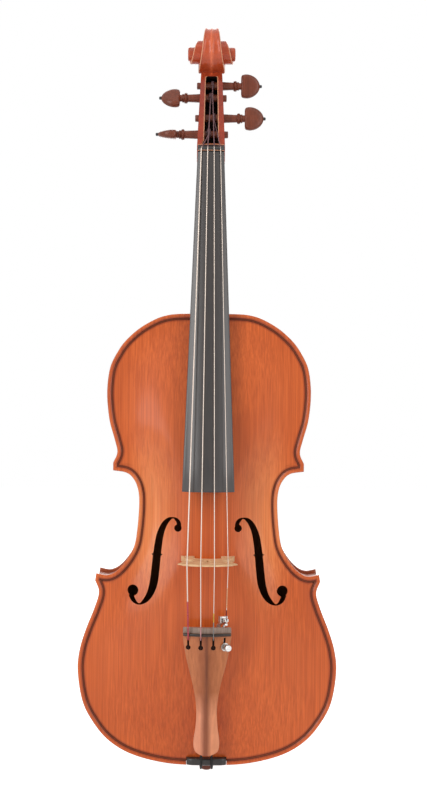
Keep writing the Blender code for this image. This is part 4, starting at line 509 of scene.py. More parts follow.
def piece_mesh_from_modifiers(piece):
    """Keeps the result of a piece's modifiers as its own mesh."""
    bpy.context.view_layer.update()
    graph = bpy.context.evaluated_depsgraph_get()
    result = bpy.data.meshes.new_from_object(piece.evaluated_get(graph), depsgraph=graph)
    build = bmesh.new()
    build.from_mesh(result)
    bmesh.ops.remove_doubles(build, verts=build.verts, dist=CUT_MERGE)
    build.to_mesh(result)
    build.free()
    piece.modifiers.clear()
    piece.data = result
    piece.data.shade_smooth()
    piece.data.set_sharp_from_angle(angle=math.radians(35))


# Plates


def half_outline():
    """The treble half of the plates' outline, top to bottom."""
    rows = [smooth_curve(bout, steps) for bout, steps in zip(OUTLINE, OUTLINE_STEPS)]
    half = np.vstack(rows)
    return half * ((1000 * cad_high[0] - OUTLINE_INSIDE_BOX) / half[:, 0].max(), 1)


def closed_ring(half):
    return np.vstack([half, half[-2:0:-1] * (-1, 1)])


HALF = half_outline()
RING = closed_ring(HALF)


def edge_distances(points):
    """How far each point lies from the plates' outline."""
    leg = np.roll(RING, -1, axis=0) - RING
    square = np.maximum((leg**2).sum(axis=1), 1e-12)
    nearest = []
    for point in points:
        offset = point - RING
        along = np.clip((offset * leg).sum(axis=1) / square, 0, 1)
        nearest.append(np.sqrt((((offset - leg * along[:, None]) ** 2).sum(axis=1)).min()))
    return np.array(nearest)


def inset_ring(distance):
    """The outline moved inward; where it would cross itself, at the corners, its points meet."""
    before = RING - np.roll(RING, 1, axis=0)
    after = np.roll(RING, -1, axis=0) - RING
    before /= np.linalg.norm(before, axis=1)[:, None]
    after /= np.linalg.norm(after, axis=1)[:, None]
    normal_in = np.stack([-before[:, 1], before[:, 0]], axis=1)
    normal_out = np.stack([-after[:, 1], after[:, 0]], axis=1)
    middle = normal_in + normal_out
    middle /= np.linalg.norm(middle, axis=1)[:, None]
    stretch = 1 / np.maximum((middle * normal_in).sum(axis=1), 0.5)
    moved = RING + middle * (distance * stretch)[:, None]
    if distance < CREST_INSET:
        return moved
    crossed = edge_distances(moved) < 0.97 * distance
    count = len(moved)
    result = moved.copy()
    for i in np.flatnonzero(crossed):
        left, right = 1, 1
        while crossed[(i - left) % count]:
            left += 1
        while crossed[(i + right) % count]:
            right += 1
        result[i] = (moved[(i - left) % count] + moved[(i + right) % count]) / 2
    return result


def plate_heights(points, top):
    """Heights of a plate's outer face over its glued face, inside the crest of its edge."""
    edge = edge_distances(points)
    hollow = np.clip((edge - CREST_INSET) / (CHANNEL_REACH - CREST_INSET), 0, 1)
    rim = EDGE_CREST + (CHANNEL_THICKNESS - EDGE_CREST) * hollow**2 * (3 - 2 * hollow)
    x, u = np.abs(points[:, 0]), points[:, 1]
    reach = np.maximum(smooth_value(ARCH_REACH, u), 1e-3)
    above = np.clip((u - ARCH_END) / ARCH_RISE_ABOVE, 0, 1)
    below = np.clip((BODY_LENGTH - ARCH_END - u) / ARCH_RISE_BELOW, 0, 1)
    ridge = (1 - (1 - above) ** 2.5) * (1 - (1 - below) ** 2.5)
    swell = 0.5 * (1 + np.cos(math.pi * np.minimum(1, x / reach) ** 1.3))
    return rim + (top - CHANNEL_THICKNESS) * ridge * swell


def plate_skin(top, turn_over):
    """A carved plate with its rounded edge and its inlaid purfling, whose dark lines are slot 1 and pale
    line slot 2. turn_over is None for the belly, or the height of the back's glued face."""
    skin = Skin()
    sign = 1 if turn_over is None else -1
    base = 0.0 if turn_over is None else turn_over

    def put(points, heights):
        return skin.row([(x, u, base + sign * h) for (x, u), h in zip(points, np.broadcast_to(heights, len(points)))])

    edge_rows = [(0.7, 0.0), (0.25, 0.6), (0.0, 1.6), (0.0, 2.6), (0.25, 3.6), (0.75, 4.25), (CREST_INSET, EDGE_CREST)]
    rows = [put(inset_ring(inset), height) for inset, height in edge_rows]
    rings = [inset_ring(inset) for inset in RING_INSETS]
    rows += [put(ring, plate_heights(ring, top)) for ring in rings]
    slots = {len(edge_rows) + 2: 1, len(edge_rows) + 3: 2, len(edge_rows) + 4: 1}
    legs = np.linalg.norm(np.diff(HALF, axis=0), axis=1)
    share = np.concatenate([[0], np.cumsum(legs)]) / legs.sum()
    start = BODY_LENGTH * (1 - SPINE_SHARE) / 2
    spine = closed_ring(np.stack([0 * share, start + share * BODY_LENGTH * SPINE_SHARE], axis=1))
    for t in np.linspace(0, 1, ARCH_RINGS + 1)[1:]:
        ring = rings[-1] + (spine - rings[-1]) * t
        rows.append(put(ring, plate_heights(ring, top)))
    for k, (here, there) in enumerate(zip(rows, rows[1:])):
        skin.band(here, there, slots.get(k, 0), closed=True)
    under = rows[0]
    for t in (0.0, 0.1, 0.25, 0.5, 1.0):
        ring = rings[-1] + (spine - rings[-1]) * t
        depth = np.maximum(plate_heights(ring, top) - PLATE_THICKNESS, 0) if t > 0 else 0.0
        here = put(ring, depth)
        skin.band(under, here, 3 if t > 0 else 0, closed=True)
        under = here
    return skin


def mark_channel_and_glow(piece):
    """Stores on a plate how deep each point lies in the channel round its edge, darker there for gathered varnish and
    for painted shade, and how much painted highlight pales it, on the flanks of the waist."""
    mesh = piece.data
    points = np.empty(3 * len(mesh.vertices))
    mesh.vertices.foreach_get("co", points)
    points = points.reshape(-1, 3) / MM
    x, u = np.abs(points[:, 0]), ORIGIN_U - points[:, 2]
    edge = edge_distances(np.stack([points[:, 0], u], axis=1))
    middle, spread = CHANNEL_SHADE
    depth = np.clip(1 - np.abs(edge - middle) / spread, 0, 1)
    mesh.attributes.new("channel", "FLOAT", "POINT").data.foreach_set("value", depth)
    # Painted highlight: a soft patch on each flank of the waist
    (glow_x, reach_x), (glow_u, reach_u) = WAIST_GLOW
    glow_share = np.exp(-(((x - glow_x) / reach_x) ** 2) - ((u - glow_u) / reach_u) ** 2)
    mesh.attributes.new("wear_and_glow", "FLOAT", "POINT").data.foreach_set("value", glow_share)


def notched(edge, outward):
    """A side of the slot with the small nick that marks the bridge's place."""
    kept = [p for p in edge if abs(p[1] - BODY_STOP) > NOTCH_HALF_WIDTH]
    made = []
    for here, there in zip(kept, kept[1:]):
        made.append(tuple(here))
        if here[1] < BODY_STOP < there[1]:
            x = here[0] + (BODY_STOP - here[1]) / (there[1] - here[1]) * (there[0] - here[0])
            made.append((x, BODY_STOP - NOTCH_HALF_WIDTH))
            made.append((x + outward * NOTCH_DEPTH, BODY_STOP))
            made.append((x, BODY_STOP + NOTCH_HALF_WIDTH))
    return made + [tuple(kept[-1])]


def round_eye(eye, start, end):
    """The arc of an eye from one side of the slot to the other, the long way round."""
    first = math.atan2(start[1] - eye[1], start[0] - eye[0])
    sweep = (math.atan2(end[1] - eye[1], end[0] - eye[0]) - first) % (2 * math.pi)
    if sweep < math.pi:
        sweep -= 2 * math.pi
    angles = np.linspace(first, first + sweep, 40)
    return [(eye[0] + eye[2] * math.cos(a), eye[1] + eye[2] * math.sin(a)) for a in angles]


def sound_hole_outline():
    rows = smooth_curve(SLOT, 130)
    line = rows[:, :2]
    ahead = np.gradient(line, axis=0)
    ahead /= np.linalg.norm(ahead, axis=1)[:, None]
    across = np.stack([-ahead[:, 1], ahead[:, 0]], axis=1) * rows[:, 2:] / 2
    sides = []
    for edge in (line + across, line - across):
        away = [np.linalg.norm(edge - eye[:2], axis=1) > eye[2] for eye in (UPPER_EYE, LOWER_EYE)]
        sides.append(edge[away[0] & away[1]])
    outer, inner = sides if sides[0][len(sides[0]) // 2][0] > sides[1][len(sides[1]) // 2][0] else sides[::-1]
    outer, inner = notched(outer, 1), notched(inner, -1)
    lower = round_eye(LOWER_EYE, outer[-1], inner[-1])
    upper = round_eye(UPPER_EYE, inner[0], outer[0])
    return outer + lower + inner[::-1] + upper


def prism(outline, low, high):
    """A solid of an (x, u) outline between two heights."""
    skin = Skin()
    skin.loft([[(x, u, low) for x, u in outline], [(x, u, high) for x, u in outline]])
    return skin


def block(x, start, end, low, high):
    """A box from -x to x, between two places down the body and two heights."""
    return prism([(-x, start), (x, start), (x, end), (-x, end)], low, high)


def add_belly():
    belly = show("belly", plate_skin(BELLY_ARCH, None), PLATE_SLOTS["belly"], "viola_body", "top_plate")
    outline = sound_hole_outline()
    for side, shape in (("treble", outline), ("bass", mirrored(outline))):
        tool = prism(shape, -CUT_OVERRUN, BELLY_ARCH + CUT_OVERRUN)
        cut_away(belly, f"{side}_sound_hole", tool, MATERIALS["hole_edge"])
    heel = block(HEEL_WIDTH / 2 + FIT, -CUT_OVERRUN, MORTISE_DEPTH + FIT, -CUT_OVERRUN, CUT_OVERRUN)
    cut_away(belly, "mortise", heel, MATERIALS["hole_edge"])
    seat = block(SADDLE_WIDTH / 2 + FIT, SADDLE_START - FIT, BODY_LENGTH + CUT_OVERRUN, -CUT_OVERRUN, CUT_OVERRUN)
    cut_away(belly, "saddle_seat", seat, MATERIALS["hole_edge"])
    mark_channel_and_glow(belly)


def add_back():
    skin = plate_skin(BACK_ARCH, -RIB_HEIGHT)
    angles = np.linspace(0, math.pi, 60)
    sections = []
    for inset, depth in ((0.6, 0.02), (0.0, 1.0), (0.0, 3.2), (0.5, 3.9), (1.2, EDGE_THICKNESS)):
        radius, height = BUTTON_WIDTH / 2 - inset, BUTTON_HEIGHT - inset
        rim = [(radius * math.cos(a), BUTTON_FOOT - height * math.sin(a)) for a in angles]
        outline = [(radius, 5.0), *rim, (-radius, 5.0)]
        sections.append([(x, u, -RIB_HEIGHT - depth) for x, u in outline])
    skin.loft(sections)
    mark_channel_and_glow(show("back", skin, PLATE_SLOTS["back"], "viola_body", "back_plate"))


# Neck and head


def glue_plane(u):
    """Height of the neck's upper face, under the fingerboard."""
    return EDGE_THICKNESS + NECK_OVERSTAND + NECK_SLOPE * u


def head_place(beyond, below):
    """A place of the head, given from the nut, as (u, h) of the body frame."""
    return -NECK_STOP - beyond, glue_plane(-NECK_STOP) - below


EYE_AT = head_place(EYE_BEYOND_NUT, EYE_BELOW_NUT)
NUT_END = -NECK_STOP - NUT_LENGTH
FINGERBOARD_END = FINGERBOARD_LENGTH - NECK_STOP
BACK_LINE = smooth_curve([head_place(*row) for row in PEGBOX_BACK], 60)


def spiral_radius(turn):
    return SCROLL_RADIUS * (BACK_SHRINK if turn < 0 else SCROLL_SHRINK) ** turn


def spiral_point(turn, sunk=0.0):
    """A point of the spiral in (u, h): turn 0 is the top, and a quarter turn on is the front."""
    radius = spiral_radius(turn) - sunk
    angle = 2 * math.pi * turn
    return EYE_AT[0] - radius * math.cos(angle), EYE_AT[1] + radius * math.sin(angle)


def cheek_half_width(u):
    """Half width of the head's flat cheeks, narrowing from the nut to the top of the scroll."""
    places = (spiral_point(0.0)[0], spiral_point(0.5)[0], NUT_END)
    widths = (SCROLL_WIDTHS[0][1], PEGBOX_WIDTH_AT_THROAT / 2, PEGBOX_WIDTH_AT_NUT / 2)
    return float(np.interp(u, places, widths))


def head_edge_width(turn):
    if turn <= 0:
        return cheek_half_width(spiral_point(turn)[0])
    return float(smooth_value(SCROLL_WIDTHS, turn))


def pegbox_front(u):
    """Height of the pegbox's front edge, on a line from the nut to the throat."""
    start = glue_plane(-NECK_STOP) - PEGBOX_FRONT_BELOW
    throat_u, throat_h = spiral_point(THROAT_TURN)
    return start + (u - NUT_END) / (throat_u - NUT_END) * (throat_h - start)


def pegbox_back(u):
    return float(np.interp(-u, -BACK_LINE[:, 0], BACK_LINE[:, 1]))


def toward_eye(u, h, distance):
    away = math.hypot(u - EYE_AT[0], h - EYE_AT[1])
    return u + (EYE_AT[0] - u) * distance / away, h + (EYE_AT[1] - h) * distance / away


def head_side(skin, flip):
    """One cheek with the spiral that stands on it. Every outer edge has a chamfer, whose two lines are
    the crest, on the fluted band or the spiral's wall, and the shoulder, on the cheek or the side."""
    count = round((SCROLL_TURNS + BACK_TURN) * SCROLL_STEPS)
    turns = [i / SCROLL_STEPS - BACK_TURN for i in range(count + 1)]
    throat = min(range(count + 1), key=lambda i: abs(turns[i] - THROAT_TURN))
    widths = [head_edge_width(t) for t in turns]
    chamfers = [min(CHAMFER, 0.16 * spiral_radius(t)) for t in turns]
    crest = skin.row((flip * (w - c), *spiral_point(t)) for t, w, c in zip(turns, widths, chamfers))
    shoulder = skin.row((flip * w, *spiral_point(t, c)) for t, w, c in zip(turns, widths, chamfers))
    # The chamfers take slot 1, a painted highlight along the edges
    skin.band(crest, shoulder, 1)

    foot = {}
    for i in range(throat, count + 1):
        before = i - SCROLL_STEPS
        u, h = spiral_point(turns[i])
        width = cheek_half_width(u) if before < 0 else widths[before] - SIDE_HOLLOW
        foot[i] = skin.row([(flip * width, u, h)])[0]
    skin.band([foot[i] for i in range(throat, count + 1)], crest[throat:])

    last = count - SCROLL_STEPS
    before_row = shoulder[: last + 1]
    first_dips, last_dips = [], []
    for share in (0.25, 0.5, 0.75, 1.0):
        if share == 1.0:
            here = [foot[i] for i in range(SCROLL_STEPS, count + 1)]
        else:
            here = []
            for i in range(last + 1):
                start, end = skin.points[shoulder[i]], skin.points[foot[i + SCROLL_STEPS]]
                x, u, h = (a + (b - a) * share for a, b in zip(start, end))
                dip = SIDE_HOLLOW * 0.6 * math.sin(math.pi * share)
                here.append(skin.row([(x - flip * dip, u, h)])[0])
            first_dips.append(here[0])
            last_dips.append(here[-1])
        skin.band(before_row, here)
        before_row = here

    inner = []
    for x, u, h in [skin.points[i] for i in shoulder[last:]]:
        inner.extend(skin.row([(x, (u + EYE_AT[0]) / 2, (h + EYE_AT[1]) / 2)]))
    skin.band(shoulder[last:], inner)
    skin.face(inner)
    skin.face((inner[-1], shoulder[-1], crest[-1], foot[count], *last_dips[::-1], shoulder[last], inner[0]))

    start = -NECK_STOP - PEGBOX_START
    line = [(start, pegbox_back(start)), *(tuple(p) for p in BACK_LINE if p[0] < start)]
    back_crest = skin.row((flip * (cheek_half_width(u) - CHAMFER), u, h) for u, h in line)
    back_shoulder = skin.row((flip * cheek_half_width(u), *toward_front(u, h)) for u, h in line)
    skin.band([*back_crest, crest[0]], [*back_shoulder, shoulder[0]], 1)
    front_line = [(start, glue_plane(start) - PEGBOX_FRONT_BELOW - FIT)]
    front_line += [(u, pegbox_front(u)) for u in np.linspace(NUT_END, spiral_point(turns[throat])[0], 30)[:-1]]
    front = skin.row((flip * cheek_half_width(u), u, h) for u, h in front_line)
    walls = [foot[i] for i in range(throat, SCROLL_STEPS + 1)]
    skin.face((*front, *walls, *first_dips[::-1], shoulder[0], *back_shoulder[::-1]))
    return crest, foot[throat], back_crest, front, throat, back_shoulder[0]


def toward_front(u, h):
    """A place of the pegbox's back line moved into the cheek by the width of the chamfer."""
    i = int(np.argmin(np.abs(BACK_LINE[:, 0] - u)))
    ahead = BACK_LINE[min(i + 1, len(BACK_LINE) - 1)] - BACK_LINE[max(i - 1, 0)]
    ahead /= np.linalg.norm(ahead)
    normal = np.array((-ahead[1], ahead[0]))
    if normal[1] < 0:
        normal = -normal
    return u + CHAMFER * normal[0], h + CHAMFER * normal[1]


def flutes(skin, right, left):
    """A row across the head: two flutes, and the spine between them."""
    x, u, h = skin.points[right]
    middle = []
    for share in np.linspace(1, -1, 17)[1:-1]:
        depth = FLUTE_DEPTH * math.sin(math.pi * abs(share)) ** 0.8
        middle.append((abs(x) * share, *toward_eye(u, h, depth)))
    return [right, *skin.row(middle), left]


def head_skin():
    """Pegbox and scroll: cheeks, spiral sides, spiral walls and the fluted band, as one closed skin."""
    skin = Skin()
    crest_r, foot_r, back_r, front_r, throat, corner_r = head_side(skin, 1)
    crest_l, foot_l, back_l, front_l, _, corner_l = head_side(skin, -1)
    outer_r, outer_l = [*back_r, *crest_r[: throat + 1]], [*back_l, *crest_l[: throat + 1]]
    rows = [flutes(skin, right, left) for right, left in zip(outer_r, outer_l)]
    for here, there in zip(rows, rows[1:]):
        skin.band(here, there)
    spine = len(rows[-1]) // 2
    skin.face((*rows[-1][: spine + 1], foot_r))
    skin.face((*rows[-1][spine:], foot_l))
    skin.band(front_r, front_l)
    skin.face((front_r[-1], foot_r, rows[-1][spine], foot_l, front_l[-1]))
    skin.face((front_r[0], corner_r, *rows[0], corner_l, front_l[0]))
    return skin


def neck_section(u, width, back, square, count=28):
    """A section across the neck: flat under the fingerboard and rounded behind."""
    front = glue_plane(u)
    shoulder = front - NECK_SHOULDER
    points = [(width / 2, u, front)]
    for a in np.linspace(0, math.pi, count + 1):
        x = width / 2 * math.copysign(abs(math.cos(a)) ** square, math.cos(a))
        points.append((x, u, shoulder - (shoulder - back) * math.sin(a) ** square))
    return [*points, (-width / 2, u, front)]


def fingerboard_half_width(u):
    share = (u + NECK_STOP) / (FINGERBOARD_END + NECK_STOP)
    return (NUT_WIDTH + (FINGERBOARD_WIDTH - NUT_WIDTH) * share) / 2


def neck_skin():
    foot = -RIB_HEIGHT + FIT
    sections = [neck_section(u, HEEL_WIDTH, foot, 0.55) for u in (MORTISE_DEPTH, 0.0, -HEEL_REACH)]
    top = NECK_STOP - NECK_TOP_INSET
    stations = [*np.linspace(15, 45, 40), *np.linspace(48, top, 16)]
    for above in stations:
        blend = min(1.0, max(0.0, (above - 15) / 8))
        width = HEEL_WIDTH + (2 * fingerboard_half_width(-above) - HEEL_WIDTH) * (0.5 + 0.5 * blend)
        back = glue_plane(-above) - NECK_THICKNESS - float(smooth_value(HEEL_CURVE, above))
        sections.append(neck_section(-above, width, max(back, foot), 0.55 + 0.3 * blend))
    base = glue_plane(-top) - NECK_THICKNESS
    for beyond, drop in NECK_INTO_HEAD:
        sections.append(neck_section(-NECK_STOP - beyond, NUT_WIDTH - 0.6, base - drop, 0.75))
    skin = Skin()
    skin.loft(sections)
    return skin


def eye_profile():
    """A domed end on the eye, from its middle out to its side and back to the head."""
    half, edge = EYE_HALF_WIDTH, EYE_RADIUS
    bend = [(half - EYE_ROUND * (1 - math.sin(a)), edge - EYE_ROUND * (1 - math.cos(a))) for a in np.linspace(math.pi / 2, 0, 8)]
    right = [(half, 0.3), *bend]
    return [(-x, radius) for x, radius in right] + right[::-1]


def cavity_skin():
    """The open trough between the cheeks, flared at the nut, its floor's corners rounded."""
    sections = []
    end = CAVITY[-1][0]
    rounding = np.linspace(end - CAVITY_ROUND, end, 9)
    for beyond in [*np.linspace(CAVITY[0][0], end - CAVITY_ROUND, 40)[:-1], *rounding]:
        u = -NECK_STOP - beyond
        closer = float(smooth_value([(b, c) for b, c, _ in CAVITY], beyond))
        rise = float(smooth_value([(b, r) for b, _, r in CAVITY], beyond))
        share = (u - NUT_END) / (spiral_point(THROAT_TURN)[0] - NUT_END)
        wall = PEGBOX_WALL_AT_NUT + (PEGBOX_WALL_AT_THROAT - PEGBOX_WALL_AT_NUT) * share
        half = cheek_half_width(u) - wall - closer
        round_end = max(0.0, 1 + (beyond - end) / CAVITY_ROUND)
        half -= CAVITY_ROUND * (1 - math.sqrt(1 - round_end**2))
        floor = pegbox_back(u) + PEGBOX_FLOOR + rise
        lip = pegbox_front(u)
        bend = min(3.0, half)
        corner = [
            (half - bend * (1 - math.cos(a)), floor + bend * (1 - math.sin(a))) for a in np.linspace(0, math.pi / 2, 6)
        ]
        flare = half + CAVITY_LIP + CAVITY_FLARE
        edge = [(flare, lip + CAVITY_ROOF), (flare, lip + CAVITY_FLARE), (half, lip - CAVITY_LIP)]
        right = [*edge, *corner]
        sections.append([(x, u, h) for x, h in right] + [(-x, u, h) for x, h in right[::-1]])
    skin = Skin()
    last = len(sections[0]) - 2
    # The chamfer round the cavity's lip takes slot 1, a painted highlight
    skin.loft(sections, strips={1: 1, last - 1: 1})
    return skin


def peg_axis(name):
    """The place of the peg's joint, in the body frame."""
    x, y, z = JOINTS[f"peg_{name}"]["pos_m"]
    return x / MM, ORIGIN_U - z / MM, ORIGIN_H - y / MM


def peg_hole(name, side):
    axis = peg_axis(name)
    half = cheek_half_width(axis[1])
    far = half + PEG_HOLE_ALLOWANCE
    slope = (PEG_RADIUS - PEG_TIP_RADIUS) / (2 * half)
    middle = (PEG_RADIUS + PEG_TIP_RADIUS) / 2 + PEG_CLEARANCE
    skin = Skin()
    skin.turned([(-far, middle - slope * far), (far, middle + slope * far)], axis, (side, 0, 0), 40)
    return skin


def add_neck():
    # The head's second slot is a painted highlight on its chamfered edges
    woods = [MATERIALS["head_maple"], MATERIALS["edge_highlight"]]
    head = show("head", head_skin(), woods, "viola_body", "neck")
    # Painted shade: the walls of the pegbox's cavity and of the peg holes are near black
    cut_away(head, "cavity", cavity_skin(), MATERIALS["dark_cavity"], MATERIALS["edge_highlight"])
    for name, side, *_ in PEGS:
        cut_away(head, f"peg_hole_{name}", peg_hole(name, side), MATERIALS["dark_cavity"])
    skin = Skin()
    skin.turned(eye_profile(), (0, *EYE_AT), (1, 0, 0), 72)
    show("scroll_eye", skin, [MATERIALS["varnished_maple"]], "viola_body")
    show("neck_shaft", neck_skin(), [MATERIALS["varnished_maple"]], "viola_body")


def fingerboard_top(x, u):
    half = fingerboard_half_width(u)
    crown = math.sqrt(FINGERBOARD_RADIUS**2 - x**2) - math.sqrt(FINGERBOARD_RADIUS**2 - half**2)
    return glue_plane(u) + FINGERBOARD_SIDE + crown


def add_fingerboard():
    """The crowned board, its long edges and its end broken by a small round."""
    start, end = -NECK_STOP + FIT, FINGERBOARD_END
    stations = [(start, 0.3), (start + 0.3, 0.0), *((u, 0.0) for u in np.linspace(-120, 130, 9))]
    stations += [(end - 0.5, 0.0), (end - 0.15, 0.15), (end, 0.5)]
    skin = Skin()
    sections = []
    for u, tuck in stations:
        half = fingerboard_half_width(u)
        low = glue_plane(u) + FIT
        crown = []
        for x in np.linspace(half - FINGERBOARD_ROUND, FINGERBOARD_ROUND - half, 41):
            crown.append((x * (1 - tuck / half), u, fingerboard_top(x, u) - tuck))
        edge = fingerboard_top(half - FINGERBOARD_ROUND, u)
        side = [
            (half - FINGERBOARD_ROUND * (1 - math.sin(a)) - tuck, u, edge - FINGERBOARD_ROUND * (1 - math.cos(a)) - tuck)
            for a in np.linspace(math.pi / 2, 0.2, 5)
        ]
        sections.append([(half - 0.4 - tuck, u, low), *side, *crown, *mirrored(side[::-1]), (tuck + 0.4 - half, u, low)])
    skin.loft(sections)
    show("board", skin, [MATERIALS["board_ebony"]], "viola_body", "fingerboard")


# Materials: colours are linear


def plain_material(name, colour, roughness, metallic=0.0):
    made = bpy.data.materials.new(name)
    made.use_nodes = True
    shader = made.node_tree.nodes["Principled BSDF"]
    shader.inputs["Base Color"].default_value = (*colour, 1)
    shader.inputs["Roughness"].default_value = roughness
    shader.inputs["Metallic"].default_value = metallic
    if not metallic:
        shader.inputs["Specular IOR Level"].default_value = 0.2
    return made, made.node_tree, shader


def stretched_noise(tree, stretch, detail=3.0, roughness=0.6, distortion=0.0):
    """Noise of the object's own space, drawn out along the axes with the small factors."""
    where = tree.nodes.new("ShaderNodeTexCoord")
    mapping = tree.nodes.new("ShaderNodeMapping")
    mapping.inputs["Scale"].default_value = stretch
    noise = tree.nodes.new("ShaderNodeTexNoise")
    noise.inputs["Scale"].default_value = 1.0
    noise.inputs["Detail"].default_value = detail
    noise.inputs["Roughness"].default_value = roughness
    noise.inputs["Distortion"].default_value = distortion
    tree.links.new(where.outputs["Object"], mapping.inputs["Vector"])
    tree.links.new(mapping.outputs["Vector"], noise.inputs["Vector"])
    return noise.outputs["Fac"]


def ramp(tree, factor, *stops):
    """Colours over a factor: stops are (place, colour)."""
    made = tree.nodes.new("ShaderNodeValToRGB")
    points = made.color_ramp.elements
    while len(points) < len(stops):
        points.new(0.5)
    for point, (where, colour) in zip(points, stops):
        point.position = where
        point.color = (*colour, 1)
    tree.links.new(factor, made.inputs["Fac"])
    return made.outputs["Color"]


def multiplied(tree, first, second):
    made = tree.nodes.new("ShaderNodeMix")
    made.data_type = "RGBA"
    made.blend_type = "MULTIPLY"
    made.inputs["Factor"].default_value = 1.0
    tree.links.new(first, made.inputs["A"])
    tree.links.new(second, made.inputs["B"])
    return made.outputs["Result"]


def mixed(tree, factor, first, second):
    made = tree.nodes.new("ShaderNodeMix")
    made.data_type = "RGBA"
    tree.links.new(factor, made.inputs["Factor"])
    tree.links.new(first, made.inputs["A"])
    tree.links.new(second, made.inputs["B"])
    return made.outputs["Result"]


def bumped(tree, shader, height, strength, distance):
    made = tree.nodes.new("ShaderNodeBump")
    made.inputs["Strength"].default_value = strength
    made.inputs["Distance"].default_value = distance
    tree.links.new(height, made.inputs["Height"])
    tree.links.new(made.outputs["Normal"], shader.inputs["Normal"])
    return made


def soft_edges(tree, shader, radius, bump=None):
    """Sharp edges catch the light as if they were broken by a small round."""
    made = tree.nodes.new("ShaderNodeBevel")
    made.samples = 4
    made.inputs["Radius"].default_value = radius
    if bump is None:
        tree.links.new(made.outputs["Normal"], shader.inputs["Normal"])
    else:
        tree.links.new(made.outputs["Normal"], bump.inputs["Normal"])
    tree.links.new(made.outputs["Normal"], shader.inputs["Coat Normal"])


def varnished(shader, weight=0.4, roughness=0.14, ior=1.5):
    shader.inputs["Coat Weight"].default_value = weight
    shader.inputs["Coat Roughness"].default_value = roughness
    shader.inputs["Coat IOR"].default_value = ior


def stored(tree, name):
    made = tree.nodes.new("ShaderNodeAttribute")
    made.attribute_name = name
    return made.outputs["Fac"]


def spruce_material():
    """Straight fine grain down the belly under a clear orange-red varnish, cloudy in places, darker in the channel
    round the edge for gathered varnish and painted shade, and paled by painted highlight on the flanks of the waist.
    """
    made, tree, shader = plain_material("varnished_spruce", (0.62, 0.135, 0.03), 0.42)
    grain = stretched_noise(tree, (1100, 1100, 6), 2.0)
    year = stretched_noise(tree, (420, 420, 1.6), 1.0, 0.4)
    cloud = stretched_noise(tree, (12, 12, 8), 2.0)
    fine = ramp(tree, grain, (0.36, (0.65, 0.119, 0.020)), (0.64, (0.79, 0.162, 0.031)))
    rings = ramp(tree, year, (0.40, (0.90, 0.86, 0.84)), (0.58, (1.0, 1.0, 1.0)))
    tone = ramp(tree, cloud, (0.3, (0.86, 0.80, 0.76)), (0.68, (1.0, 1.0, 1.0)))
    # Gathered varnish and painted shade darken the channel round the edge
    channel = ramp(tree, stored(tree, "channel"), (0.2, (1.0, 1.0, 1.0)), (0.8, (0.42, 0.27, 0.22)))
    # Painted highlight pales the flanks of the waist
    glow_share = ramp(tree, stored(tree, "wear_and_glow"), (0.1, (0.0, 0.0, 0.0)), (0.9, (1.0, 1.0, 1.0)))
    body = mixed(tree, glow_share, fine, ramp(tree, grain, (0.36, (0.93, 0.255, 0.072)), (0.64, (1.0, 0.33, 0.105))))
    colour = multiplied(tree, multiplied(tree, multiplied(tree, body, rings), tone), channel)
    tree.links.new(colour, shader.inputs["Base Color"])
    bumped(tree, shader, grain, 0.10, 0.0003)
    varnished(shader, 0.34)
    return made


def maple_material(name, dark, light, flamed, ridge=None):
    """Maple under red-brown varnish, its flame running across the grain where it has one. The ridge is
    the colour of a painted highlight along the spine in the middle of the head, whose pegbox is darkened by painted
    shade."""
    made, tree, shader = plain_material(name, light, 0.4)
    flame = stretched_noise(tree, (18, 18, 150), 1.5, 0.5, 0.6)
    grain = stretched_noise(tree, (700, 700, 14))
    low, high = (0.38, 0.60) if flamed else (0.2, 0.8)
    stripes = ramp(tree, flame, (low, dark), (high, light))
    fine = ramp(tree, grain, (0.3, (0.84, 0.80, 0.77)), (0.7, (1.0, 1.0, 1.0)))
    colour = multiplied(tree, stripes, fine)
    if ridge:
        # Painted highlight along the spine, then painted shade on the pegbox
        where = tree.nodes.new("ShaderNodeTexCoord")
        axes = tree.nodes.new("ShaderNodeSeparateXYZ")
        across = tree.nodes.new("ShaderNodeMapRange")
        across.inputs["From Min"].default_value = -RIDGE_REACH * MM
        across.inputs["From Max"].default_value = RIDGE_REACH * MM
        tree.links.new(where.outputs["Object"], axes.inputs["Vector"])
        tree.links.new(axes.outputs["X"], across.inputs["Value"])
        spine_highlight = ramp(tree, across.outputs["Result"], (0.0, (0, 0, 0)), (0.5, (1, 1, 1)), (1.0, (0, 0, 0)))
        colour = mixed(tree, spine_highlight, colour, ramp(tree, grain, (0.3, light), (0.7, ridge)))
        # Painted shade: the pegbox darker than the scroll and the neck
        up = tree.nodes.new("ShaderNodeMapRange")
        up.inputs["From Min"].default_value = PEGBOX_SHADE[0]
        up.inputs["From Max"].default_value = PEGBOX_SHADE[1]
        tree.links.new(axes.outputs["Z"], up.inputs["Value"])
        shade = ramp(
            tree, up.outputs["Result"], (0.0, (0.92, 0.88, 0.86)), (0.25, (0.66, 0.46, 0.41)),
            (0.6, (0.54, 0.33, 0.28)), (0.83, (0.52, 0.31, 0.26)), (1.0, (1, 1, 1)),
        )
        colour = multiplied(tree, colour, shade)
    tree.links.new(colour, shader.inputs["Base Color"])
    bump = bumped(tree, shader, grain, 0.06, 0.0002)
    soft_edges(tree, shader, 0.0004, bump)
    varnished(shader, 0.5, 0.13)
    return made


def wood_material(name, dark, light, roughness, coat, edge=0.0004, stretch=(420, 420, 20)):
    made, tree, shader = plain_material(name, light, roughness)
    grain = stretched_noise(tree, stretch)
    tree.links.new(ramp(tree, grain, (0.3, dark), (0.7, light)), shader.inputs["Base Color"])
    bump = bumped(tree, shader, grain, 0.08, 0.0002)
    soft_edges(tree, shader, edge, bump)
    varnished(shader, coat, 0.2)
    return made


